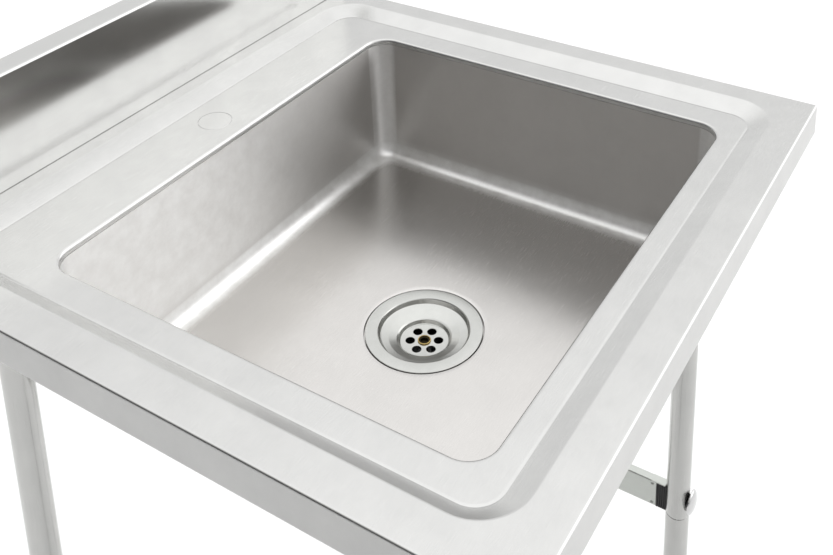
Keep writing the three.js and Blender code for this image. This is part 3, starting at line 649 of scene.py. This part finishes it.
XI = HX - 18.0
v1, f1 = skin([splash_ring(-HX + SHEET + 0.02, 0), splash_ring(-XI, 0), splash_ring(-XI / 2, 0), splash_ring(0, 0), splash_ring(XI / 2, 0), splash_ring(XI, 0), splash_ring(HX - SHEET - 0.02, 0)], close=False, caps=True)
parts = [(v1, f1)]
for sx in (-1, 1):
    # closed end with its rear return
    end = fillet([(S0, SZ0), (S0, SZ1), (S1, SZ1), (S1, SZ0)], [0.9, 2.4, 2.0, 0.25], 6)
    parts.append(prism(end, HX - SHEET, HX, lambda a, b, c, s=sx: (s * c, a, b), 0.35))
    ret = fillet([(XI, S1 - SHEET), (XI, S1), (HX - SHEET * 0.5, S1), (HX - SHEET * 0.5, S1 - SHEET)], [0.3, 0.3, 0, 0], 4)
    parts.append(prism(ret, SZ0, SZ1 - 17.5, lambda a, b, c, s=sx: (s * a, b, c), 0.2))
v, f = merge(*parts)
build("splashback_fold", v, f, M_SPLASH, "frame", ["splashback"], sharp=40)

# ------------------------------------------------------------ strainer waste
Z0 = FLANGE_Z
T = 1.0
CUP_R, LEDGE, CONE_TOP, CONE_BOT, CONE_D, BASE_R, BASE_D = 40.8, 4.5, 38.0, 23.8, 8.0, 21.8, 12.0
over = [
    (FLANGE_R - 0.6, Z0), (CUP_R + 0.8, Z0), (CUP_R, Z0 - 0.8), (CUP_R - 1.4, Z0 - LEDGE), (CONE_TOP, Z0 - LEDGE - 0.4),
    (32, Z0 - 6.0), (CONE_BOT + 1.0, Z0 - CONE_D), (CONE_BOT - 0.6, Z0 - CONE_D - 0.8), (BASE_R, Z0 - BASE_D), (0, Z0 - BASE_D)]
under = [
    (0, Z0 - BASE_D - T), (BASE_R + 0.8, Z0 - BASE_D - T), (CONE_BOT + 0.2, Z0 - CONE_D - 1.6), (32, Z0 - 6.0 - T),
    (CONE_TOP, Z0 - LEDGE - 0.4 - T), (CUP_R - 0.4, Z0 - LEDGE - 0.4), (CUP_R + T, Z0 - T - 0.8), (CUP_R + T + 0.6, Z0 - T),
    (FLANGE_R - 0.6, Z0 - T), (FLANGE_R, Z0 - T * 0.5)]
profile = fillet(under + over, [0, 0.8, 0.8, 2, 1, 0.4, 0.6, 0.6, 0.3, 0.3, 0.35, 0.5, 0.5, 0.5, 0.5, 2.5, 0.9, 0.9, 0.7, 0], 4)
v, f = lathe(profile, 128, (0, DRAIN_Y, 0))
strainer = build("strainer_cup", v, f, M_STRAIN, None, sharp=45)
holes = []
for i in range(6):
    t = i * math.pi / 3
    holes.append(lathe([(0, Z0 - 20), (4.35, Z0 - 20), (4.35, Z0 - 9), (0, Z0 - 9)], 40,
                       (12.7 * math.cos(t), DRAIN_Y + 12.7 * math.sin(t), 0)))
holes.append(lathe([(0, Z0 - 20), (4.3, Z0 - 20), (4.3, Z0 - 9), (0, Z0 - 9)], 40, (0, DRAIN_Y, 0)))
drill(strainer, holes, M_STRAIN, 45)
strainer.data.transform(Matrix.Translation((0, -DRAIN_Y * MM, 0)))
strainer.location = (0, DRAIN_Y * MM, 0)
place(strainer, "frame", ["waste_strainer"])

ZB = Z0 - BASE_D
sp = fillet([(0, ZB - 46), (3, ZB - 46), (3, ZB - 3.4), (3.9, ZB - 3.4), (3.9, ZB + 0.25), (5.9, ZB + 0.25), (5.9, ZB + 1.1),
             (5.1, ZB + 1.1), (4.7, ZB + 0.45), (3.5, ZB + 0.35), (3.4, ZB - 2.4), (0, ZB - 2.4)], [0, 0.4, 0, 0, 0.1, 0.2, 0.35, 0.2, 0.15, 0.1, 0.1, 0], 4)
v, f = lathe(sp, 72, (0, DRAIN_Y, 0))
screw = build("strainer_bolt", v, f, M_BRASS, None, sharp=40)
screw.data.materials.append(M_SOCKET_SHADE)
# the recessed top faces of the bolt get the painted shade
for poly in screw.data.polygons:
    c = poly.center / MM
    if math.hypot(c.x, c.y - DRAIN_Y) < 5.0 and c.z > ZB - 2.6 and poly.normal.dot(Vector((-c.x, DRAIN_Y - c.y, 8))) > 0:
        poly.material_index = 1
place(screw, "frame", ["strainer_screw"])


def turned(name, node_name, prof, rad, mat, body="frame", seg=72, sharp=35, n=4):
    lo, hi = span(node_name)
    c = ((lo[0] + hi[0]) / 2, (lo[1] + hi[1]) / 2)
    v, f = lathe(fillet(prof, rad, n), seg, (c[0], c[1], 0))
    return build(name, v, f, mat, body, [node_name], sharp)


for n, ri, ro in (("upper_gasket", CUP_R + 2.6, FLANGE_R - 1.2), ("lower_gasket", CUP_R + 4, FLANGE_R + 1.5), ("outlet_washer", 19.2, 23.2)):
    lo, hi = span(n)
    turned(n + "_ring", n, [(ri, lo[2]), (ro, lo[2]), (ro, hi[2]), (ri, hi[2])], 0.35, M_RUBBER)

w_lo, w_hi = span("waste_body")
BT = w_hi[2]
shell = [(CUP_R + 3, BT), (CUP_R + 3, BT - 10), (41, BT - 22), (22, BT - 34), (20, BT - 36), (20, BT - 60), (23.6, BT - 60),
         (23.6, BT - 38), (25, BT - 36), (44, BT - 24), (47, BT - 11), (FLANGE_R + 2.3, BT - 6), (FLANGE_R + 2.3, BT)]
sv = lathe(fillet(shell, [0.4, 2, 3, 3, 1, 0.4, 0.5, 0.6, 2, 3, 2, 1, 0.6], 5), 96, (0, DRAIN_Y, 0))
bridge = prism(fillet([(-42, -2), (42, -2), (42, 2), (-42, 2)], 0.5, 3), BT - 26, BT - 18, lambda a, b, c: (a, b + DRAIN_Y, c), 0.5)
boss = lathe(fillet([(3.3, BT - 30), (6.5, BT - 30), (6.5, BT - 17), (3.3, BT - 17)], 0.5, 3), 48, (0, DRAIN_Y, 0))
v, f = merge(sv, bridge, boss)
build("waste_funnel", v, f, M_WASTE, "frame", ["waste_body"])

tp_lo, tp_hi = span("tail_pipe")
PT, PB = tp_hi[2], tp_lo[2]
turned("tail_pipe_tube", "tail_pipe", [(16.4, PT), (16.4, PB), (18.6, PB), (19.0, PB + 6), (19.0, PT - 4), (23.2, PT - 2.6), (23.2, PT)],
       [0.4, 0.4, 0.4, 0, 0.8, 0.3, 0.3], M_WASTE)
n_lo, n_hi = span("union_nut")
NT, NB = n_hi[2], n_lo[2]
nut = fillet([(24.0, NT), (24.0, PT - 3.6), (19.6, PT - 5.0), (19.6, NB), (27, NB), (30.5, NB + 3), (30.5, NT - 2), (29, NT)],
             [0.3, 0.4, 0.3, 0.3, 0.8, 1.0, 0.8, 0.5], 4)
nv, nf = [], []
SEG = 144
for k in range(SEG):
    t = 2 * math.pi * k / SEG
    g = 0.5 + 0.5 * math.cos(12 * t)
    cutback = 1.6 * (g ** 3)
    for r, h in nut:
        rr = r - cutback if r > 28 else r
        nv.append((rr * math.cos(t), rr * math.sin(t) + DRAIN_Y, h))
for k in range(SEG):
    m = (k + 1) % SEG
    for i in range(len(nut)):
        j = (i + 1) % len(nut)
        nf.append((k * len(nut) + i, m * len(nut) + i, m * len(nut) + j, k * len(nut) + j))
build("union_nut_grip", nv, nf, M_WASTE, "frame", ["union_nut"])

# ------------------------------------------------------------ channels
for side, sx in (("left", -1), ("right", 1)):
    lo, hi = span("side_channel_" + side)
    xa, xb = (lo[0], hi[0]) if sx > 0 else (-hi[0], -lo[0])
    zb, zt = lo[2], hi[2]
    outline = [(xa, zb), (xb, zb), (xb, zt), (xb - 1.5, zt), (xb - 1.5, zb + 1.5), (xa + 1.5, zb + 1.5), (xa + 1.5, zt), (xa, zt)]
    outline = fillet([(sx * a, b) for a, b in outline], [2.2, 2.2, 0.3, 0.3, 0.8, 0.8, 0.3, 0.3], 5)
    v, f = prism(outline, lo[1], hi[1], lambda a, b, c: (a, c, b), 0.2)
    build("channel_" + side, v, f, M_ZINC, "frame", ["side_channel_" + side])

# ------------------------------------------------------------ legs
LEG_R, LEG_WALL, STUD_R, PAD_R = 12.7, 1.2, 5.0, 19.0
for tag in TAGS:
    u_lo, u_hi = span("upper_leg_" + tag)
    cx, cy = (u_lo[0] + u_hi[0]) / 2, (u_lo[1] + u_hi[1]) / 2
    sx, sy = (1 if cx > 0 else -1), (1 if cy > 0 else -1)
    seam, leg_top = u_lo[2], u_hi[2]
    l_lo, l_hi = span("lower_leg_" + tag)
    c3 = (cx, cy, 0)
    r_lo, r_hi = span("rail_bolt_" + tag)
    bolt_z = (r_lo[2] + r_hi[2]) / 2

    # upper leg, its ends rolled in slightly
    ri = LEG_R - LEG_WALL
    v, f = lathe(fillet([(ri, seam), (LEG_R, seam), (LEG_R, leg_top), (ri, leg_top)], [0.2, 1.1, 0.6, 0.2], 6), 96, c3)
    leg = build("leg_upper_" + tag, v, f, M_LEG, None)
    bz = [lathe([(0, -20), (3.35, -20), (3.35, 20), (0, 20)], 32, (cx, cy, bolt_z), "y"),
          lathe([(0, 2), (3.3, 2), (3.3, 20), (0, 20)], 32, (cx, cy, leg_top - 30), "y", sy)]
    drill(leg, bz, M_LEG)
    place(leg, "frame", ["upper_leg_" + tag])

    # lower leg with its swaged spigot
    foot_z, sg = l_lo[2], ri - 0.35
    gap = 0.3
    prof = [(ri, foot_z), (LEG_R, foot_z), (LEG_R, seam - gap), (sg, seam - gap + 0.4), (sg, l_hi[2]), (sg - 1.3, l_hi[2]), (sg - 1.3, seam - 4), (ri, seam - 8)]
    v, f = lathe(fillet(prof, [0.2, 0.6, 1.1, 0.05, 1.0, 0.3, 1.5, 1.5], 6), 96, c3)
    leg = build("leg_lower_" + tag, v, f, M_LEG, None)
    drill(leg, bz[:1], M_LEG)
    place(leg, "frame", ["lower_leg_" + tag])

    # domed bolt
    so = LEG_R + 1.4
    prof = [(0, -46), (3, -46), (3, so + 0.25), (13.5, so + 0.25), (13.5, so + 1.3), (12.2, so + 2.55), (10.2, so + 3.65), (7.6, so + 4.55), (4.4, so + 5.15), (0, so + 5.3)]
    v, f = lathe(fillet(prof, [0, 0.5, 0.2, 0.3, 0.6, 2, 3, 3, 4, 0], 5), 96, (cx, cy, bolt_z), "y", sy)
    build("bolt_dome_" + tag, v, f, M_BOLT, "frame", ["rail_bolt_" + tag])

    # saddle between leg and bolt head, in black plastic; its black also stands in for the shadow gap there, which is
    # painted shade
    R0 = LEG_R + 0.35
    rings_s = []
    for r, face in ((3.35, 1), (4.5, 1), (6, 1), (7.2, 1), (7.6, 0.9), (7.6, 0.5), (7.6, 0.1), (7.3, 0), (6, 0), (4.5, 0), (3.35, 0)):
        ring = []
        for k in range(72):
            t = 2 * math.pi * k / 72
            x, z = r * math.cos(t), r * math.sin(t)
            y_in = math.sqrt(max(R0 * R0 - x * x, 0.0))
            y = y_in + (so - y_in) * face
            ring.append((cx + x, cy + sy * y, bolt_z + z))
        rings_s.append(ring)
    v, f = skin(rings_s)
    build("saddle_" + tag, v, f, M_BLACK, "frame", ["bolt_saddle_" + tag], sharp=45)

    # ribbed plug between rail and leg
    q_lo, q_hi = span("rail_plug_" + tag)
    y_rail = abs(r_side := (span("side_rail_right")[1][1])) + 0.3
    half = (q_hi[0] - q_lo[0]) / 2
    d0 = abs(cy) - y_rail
    flank = [(half, d0)]
    pos = d0 - 1.5
    while pos - 1.5 > 12.4:
        flank += [(half, pos), (half - 0.75, pos - 0.35), (half - 0.75, pos - 1.0), (half, pos - 1.35)]
        pos -= 2.45
    x_edge = half
    y_edge = math.sqrt(R0 * R0 - x_edge * x_edge)
    flank.append((half, y_edge + 0.2))
    arc = [(half * (1 - 2 * k / 12), math.sqrt(R0 * R0 - (half * (1 - 2 * k / 12)) ** 2)) for k in range(13)]
    mirror = [(-a, b) for a, b in reversed(flank)]
    plan = flank + arc + mirror
    plan = [(cx + a, cy - sy * b) for a, b in plan]
    block = prism(plan, q_lo[2], q_hi[2] - 1.4, lambda a, b, c: (a, b, c), 0.35)
    si = 1.5
    shank_out = fillet([(cx - half + si, q_lo[2] + si), (cx + half - si, q_lo[2] + si), (cx + half - si, q_hi[2] - si), (cx - half + si, q_hi[2] - si)], 0.6, 3)
    ya, yb = sy * (y_rail + 0.3), sy * (y_rail - 24)
    shank = prism(shank_out, min(ya, yb), max(ya, yb), lambda a, b, c: (a, c, b), 0.4)
    v, f = merge(block, shank)
    build("plug_" + tag, v, f, M_BLACK, "frame", ["rail_plug_" + tag], sharp=30)

    # socket: plate under the channel, plug in the leg
    k_lo2, k_hi2 = span("leg_socket_" + tag)
    plate_top = k_hi2[2]
    outline = fillet([(k_lo2[0], k_lo2[1]), (k_hi2[0], k_lo2[1]), (k_hi2[0], k_hi2[1]), (k_lo2[0], k_hi2[1])], 3.0, 6)
    plate = prism(outline, plate_top - 3, plate_top, lambda a, b, c: (a, b, c), 0.4)
    plug_r = ri - 0.35
    plug = lathe(fillet([(plug_r - 1.9, k_lo2[2]), (plug_r, k_lo2[2]), (plug_r, plate_top - 2), (plug_r - 1.9, plate_top - 2)], [0.3, 0.8, 0, 0], 4), 64, c3)
    v, f = merge(plate, plug)
    build("socket_" + tag, v, f, M_ZINC, "frame", ["leg_socket_" + tag])

    # pan-head screw with a cross recess
    g_lo, g_hi = span("socket_screw_" + tag)
    gz = (g_lo[2] + g_hi[2]) / 2
    prof = [(0, 2), (2.3, 2), (2.3, LEG_R + 0.25), (5, LEG_R + 0.25), (5, LEG_R + 1.6), (3.4, LEG_R + 2.9), (0, LEG_R + 3.1)]
    v, f = lathe(fillet(prof, [0, 0.3, 0, 0.2, 0.7, 1.2, 0], 5), 64, (cx, cy, gz), "y", sy)
    scr = build("leg_screw_" + tag, v, f, M_ZINC, None)
    cross = []
    for a, b in ((2.3, 0.45), (0.45, 2.3)):
        cross.append(prism([(cx - a, gz - b), (cx + a, gz - b), (cx + a, gz + b), (cx - a, gz + b)],
                           min(cy + sy * (LEG_R + 1.7), cy + sy * (LEG_R + 5)), max(cy + sy * (LEG_R + 1.7), cy + sy * (LEG_R + 5)),
                           lambda p, q, c: (p, c, q), 0.01))
    drill(scr, cross, M_ZINC)
    place(scr, "frame", ["socket_screw_" + tag])

    # foot
    i_lo, i_hi = span("foot_insert_" + tag)
    prof = [(STUD_R + 0.3, i_lo[2]), (LEG_R, i_lo[2]), (LEG_R, i_hi[2] - 33), (ri - 0.3, i_hi[2] - 33), (ri - 0.3, i_hi[2]), (STUD_R + 0.3, i_hi[2])]
    prof[2] = (LEG_R, l_lo[2] - 0.3)
    prof[3] = (ri - 0.3, l_lo[2] - 0.3)
    v, f = lathe(fillet(prof, [0.4, 1.8, 0.3, 0.1, 1.2, 0.4], 5), 72, c3)
    build("insert_" + tag, v, f, M_BLACK, "frame", ["foot_insert_" + tag])

    st_lo, st_hi = span("foot_stud_" + tag)
    # threaded stud: the crests run round in rings at the screw's own pitch
    prof = [(0, st_lo[2]), (3.2, st_lo[2]), (4.2, st_lo[2] + 1.9), (4.2, 14.9), (STUD_R, 14.9), (STUD_R, 22.4)]
    z = 22.6
    while z < st_hi[2] - 3.0:
        prof += [(STUD_R, z), (STUD_R - 0.62, z + 0.62), (STUD_R, z + 1.24)]
        z += 1.5
    prof += [(STUD_R, st_hi[2] - 1.5), (STUD_R - 1.2, st_hi[2]), (0, st_hi[2])]
    rod = lathe(prof, 48, c3)
    hexo = [(cx + 9.2 * math.cos(i * math.pi / 3), cy + 9.2 * math.sin(i * math.pi / 3)) for i in range(6)]
    hexp = prism(fillet(hexo, 0.4, 3), 15.0, 22.2, lambda a, b, c: (a, b, c), 0.6)
    v, f = merge(rod, hexp)
    build("stud_" + tag, v, f, M_ZINC, "foot_stud_body_" + tag, ["foot_stud_" + tag], sharp=30)

    prof = [(0, 0), (PAD_R, 0), (PAD_R, 5.2), (9.6, 13.2), (8.8, 14.4), (4.8, 14.4), (4.8, 4.2), (0, 4.2)]
    v, f = lathe(fillet(prof, [0, 1.2, 2.5, 2.0, 0.6, 0.4, 0.3, 0], 6), 96, c3)
    build("pad_" + tag, v, f, M_RUBBER, "foot_pad_body_" + tag, ["foot_pad_" + tag])

# ------------------------------------------------------------ rails
for side in ("left", "right"):
    lo, hi = span("side_rail_" + side)
    cx = (lo[0] + hi[0]) / 2
    a, b0, b1 = (hi[0] - lo[0]) / 2, lo[2], hi[2]
    zc, h = (b0 + b1) / 2, (b1 - b0) / 2
    w = 1.2
    # outline with close steps up each flank where the crimps are
    zs = [-14.9, -14.2, -13.7, -13.2, -12.6, -12.0, -11.5, -11.0, -10.3, -6, 0, 6, 10.3, 11.0, 11.5, 12.0, 12.6, 13.2, 13.7, 14.2, 14.9]
    rc = 1.5

    def section(inset, r):
        pts = []
        aa, hh = a - inset, h - inset
        for i in range(7):
            t = math.radians(-90 + 90 * i / 6)
            pts.append((aa - r + r * math.cos(t), -hh + r + r * math.sin(t)))
        pts += [(aa, z) for z in zs]
        for i in range(7):
            t = math.radians(90 * i / 6)
            pts.append((aa - r + r * math.cos(t), hh - r + r * math.sin(t)))
        for i in range(7):
            t = math.radians(90 + 90 * i / 6)
            pts.append((-aa + r + r * math.cos(t), hh - r + r * math.sin(t)))
        pts += [(-aa, z) for z in reversed(zs)]
        for i in range(7):
            t = math.radians(180 + 90 * i / 6)
            pts.append((-aa + r + r * math.cos(t), -hh + r + r * math.sin(t)))
        return pts
    y_end = hi[1]
    fine = [y_end - 0.3, y_end - 1.5, y_end - 2.3, y_end - 2.8, y_end - 3.3, y_end - 3.9, y_end - 4.5, y_end - 5.1, y_end - 5.7, y_end - 6.2, y_end - 6.7, y_end - 7.5]
    ys = [-v for v in fine] + [-120, -60, 0, 60, 120] + list(reversed(fine))

    def dent(y, z):
        d = 0.0
        for cz in (-12.6, 12.6):
            q = math.hypot((abs(y) - (y_end - 4.5)) / 1.9, (z - cz) / 1.5)
            if q < 1:
                k = min(1.0, (1 - q) / 0.55)
                d = max(d, 1.5 * k * k * (3 - 2 * k))
        return d
    rings_r = [[(cx + p, -y_end, zc + q) for p, q in section(0.25, 1.3)]]
    for y in ys:
        ring = []
        for p, q in section(0, rc):
            if abs(abs(p) - a) < 1e-6:
                p = math.copysign(abs(p) - dent(y, q), p)
            ring.append((cx + p, y, zc + q))
        rings_r.append(ring)
    rings_r.append([(cx + p, y_end, zc + q) for p, q in section(0.25, 1.3)])
    rings_r.append([(cx + p, y_end, zc + q) for p, q in section(w, 0.6)])
    for y in reversed(ys):
        ring = []
        for p, q in section(w, 0.6):
            if abs(abs(p) - (a - w)) < 1e-6:
                p = math.copysign(abs(p) - dent(y, q), p)
            ring.append((cx + p, y, zc + q))
        rings_r.append(ring)
    rings_r.append([(cx + p, -y_end, zc + q) for p, q in section(w, 0.6)])
    tongues = []
    for e in (-1, 1):
        shape = fillet([(cx - a, y_end - 6), (cx + a, y_end - 6), (cx + a, y_end + 10.4), (cx - a, y_end + 10.4)], [0, 0, 0.4, 0.4], 3)
        tongues.append(prism([(p, e * q) for p, q in shape], b1 - 1.15, b1 + 0.02, lambda p, q, c: (p, q, c), 0.3))
    v, f = merge(skin(rings_r), *tongues)
    build("rail_" + side, v, f, M_RAIL, "frame", ["side_rail_" + side], sharp=40)

# ------------------------------------------------------------ studio
fm, nt, bsdf = material("floor_paint")
co = nt.nodes.new("ShaderNodeTexCoord").outputs["Object"]
cloud = noise(nt, co, 3.0, 3.0, 0.5)
nt.links.new(ramp_colour(nt, remap(nt, cloud, 0.3, 0.7, 0, 1), (0.80, 0.80, 0.80), (0.82, 0.82, 0.82)), bsdf.inputs["Base Color"])
bsdf.inputs["Roughness"].default_value = 0.85
bsdf.inputs["Specular IOR Level"].default_value = 0.2
me = bpy.data.meshes.new("studio_floor")
me.from_pydata([(-6, -6, 0), (6, -6, 0), (6, 6, 0), (-6, 6, 0)], [], [(0, 1, 2, 3)])
me.materials.append(fm)
floor = bpy.data.objects.new("studio_floor", me)
bpy.context.collection.objects.link(floor)
# it goes down with the lowest foot, so that the feet stand on it in every pose
drv = floor.driver_add("location", 2).driver
drv.type = "SCRIPTED"
for key, tag in zip("abcd", ("fl", "fr", "bl", "br")):
    var = drv.variables.new()
    var.name, var.type = key, "TRANSFORMS"
    var.targets[0].id = bpy.data.objects["pad_" + tag].parent
    var.targets[0].transform_type = "LOC_Z"
    var.targets[0].transform_space = "WORLD_SPACE"
drv.expression = "min(a, b, c, d, 0)"


def area(name, loc, target, size, size_y, power, colour=(1, 1, 1)):
    d = bpy.data.lights.new(name, "AREA")
    d.shape, d.size, d.size_y, d.energy, d.color = "RECTANGLE", size, size_y, power, colour
    o = bpy.data.objects.new(name, d)
    o.location = loc
    o.rotation_euler = (Vector(target) - Vector(loc)).to_track_quat("-Z", "Y").to_euler()
    bpy.context.collection.objects.link(o)
    return o


for o in (area("key", (1.2, 0.6, 3.4), (0.2, 0, 0), 3.0, 3.0, 27),
          area("fill", (0.9, 2.0, 3.0), (0.6, 1.2, 0), 2.4, 2.4, 34)):
    o.visible_glossy = False          # they light the floor; the steel mirrors the surround

world = bpy.data.worlds.new("studio")
bpy.context.scene.world = world
world.use_nodes = True
wt = world.node_tree
wt.nodes.clear()
wo = wt.nodes.new("ShaderNodeOutputWorld")
bg = wt.nodes.new("ShaderNodeBackground")
wt.links.new(bg.outputs["Background"], wo.inputs["Surface"])
gen = wt.nodes.new("ShaderNodeTexCoord").outputs["Generated"]


def glow(direction, f0, f1, t0, t1):
    dot = wt.nodes.new("ShaderNodeVectorMath")
    dot.operation = "DOT_PRODUCT"
    dot.inputs[1].default_value = Vector(direction).normalized()
    wt.links.new(gen, dot.inputs[0])
    mr = wt.nodes.new("ShaderNodeMapRange")
    mr.interpolation_type = "SMOOTHSTEP"
    for k, v in (("From Min", f0), ("From Max", f1), ("To Min", t0), ("To Max", t1)):
        mr.inputs[k].default_value = v
    wt.links.new(dot.outputs["Value"], mr.inputs["Value"])
    return mr.outputs["Result"]


# bright on the right and overhead, dark on the left and behind the camera
side = glow((0.85, -0.15, 0.35), -0.55, 0.45, 0.11, 0.98)
above = glow((0.1, 0.0, 1.0), 0.48, 0.96, 0.0, 0.44)
box_right = glow((0.72, -0.60, 0.36), 0.74, 0.95, 0.0, 0.95)
lit = maths(wt, "ADD", maths(wt, "ADD", side, above), box_right)
# the backdrop itself is plain white
seen = wt.nodes.new("ShaderNodeLightPath").outputs["Is Camera Ray"]
shown = wt.nodes.new("ShaderNodeMix")
shown.data_type = "FLOAT"
wt.links.new(seen, shown.inputs["Factor"])
wt.links.new(lit, shown.inputs["A"])
shown.inputs["B"].default_value = 1.0
wt.links.new(shown.outputs["Result"], bg.inputs["Strength"])
bg.inputs["Color"].default_value = (1, 1, 1, 1)

bpy.context.scene.view_settings.view_transform = "Standard"
bpy.context.scene.view_settings.look = "None"

# ------------------------------------------------------------ camera
cd = bpy.data.cameras.new("camera")
cd.lens, cd.sensor_width, cd.sensor_fit = 48.2067, 36.0, "HORIZONTAL"
cd.clip_start, cd.clip_end = 0.02, 60
cam = bpy.data.objects.new("camera", cd)
bpy.context.collection.objects.link(cam)
x_axis = Vector((0.5184916453981971, -0.8549023191835605, -0.017562411760330354))
y_axis = Vector((0.256269790610188, 0.13576534514283017, 0.9570232836660028))
z_axis = Vector((-0.8157770578245507, -0.5007092926168012, 0.2894788355204954))
rot = Matrix((x_axis, y_axis, z_axis)).transposed().to_4x4()
CAM = Vector((-0.6902641, -0.4997526, 1.3976653))
cam.matrix_world = Matrix.Translation(CAM) @ rot
bpy.context.scene.camera = cam
# the lens is shifted only from the photograph's own standpoint
for path, value in (("shift_x", -0.0455413), ("shift_y", -0.5109809)):
    drv = cd.driver_add(path).driver
    drv.type = "SCRIPTED"
    var = drv.variables.new()
    var.name, var.type = "z", "TRANSFORMS"
    var.targets[0].id = cam
    var.targets[0].transform_type = "LOC_Z"
    var.targets[0].transform_space = "WORLD_SPACE"
    drv.expression = "%.7f if abs(z - %.7f) < 0.0005 else 0" % (value, CAM.z)
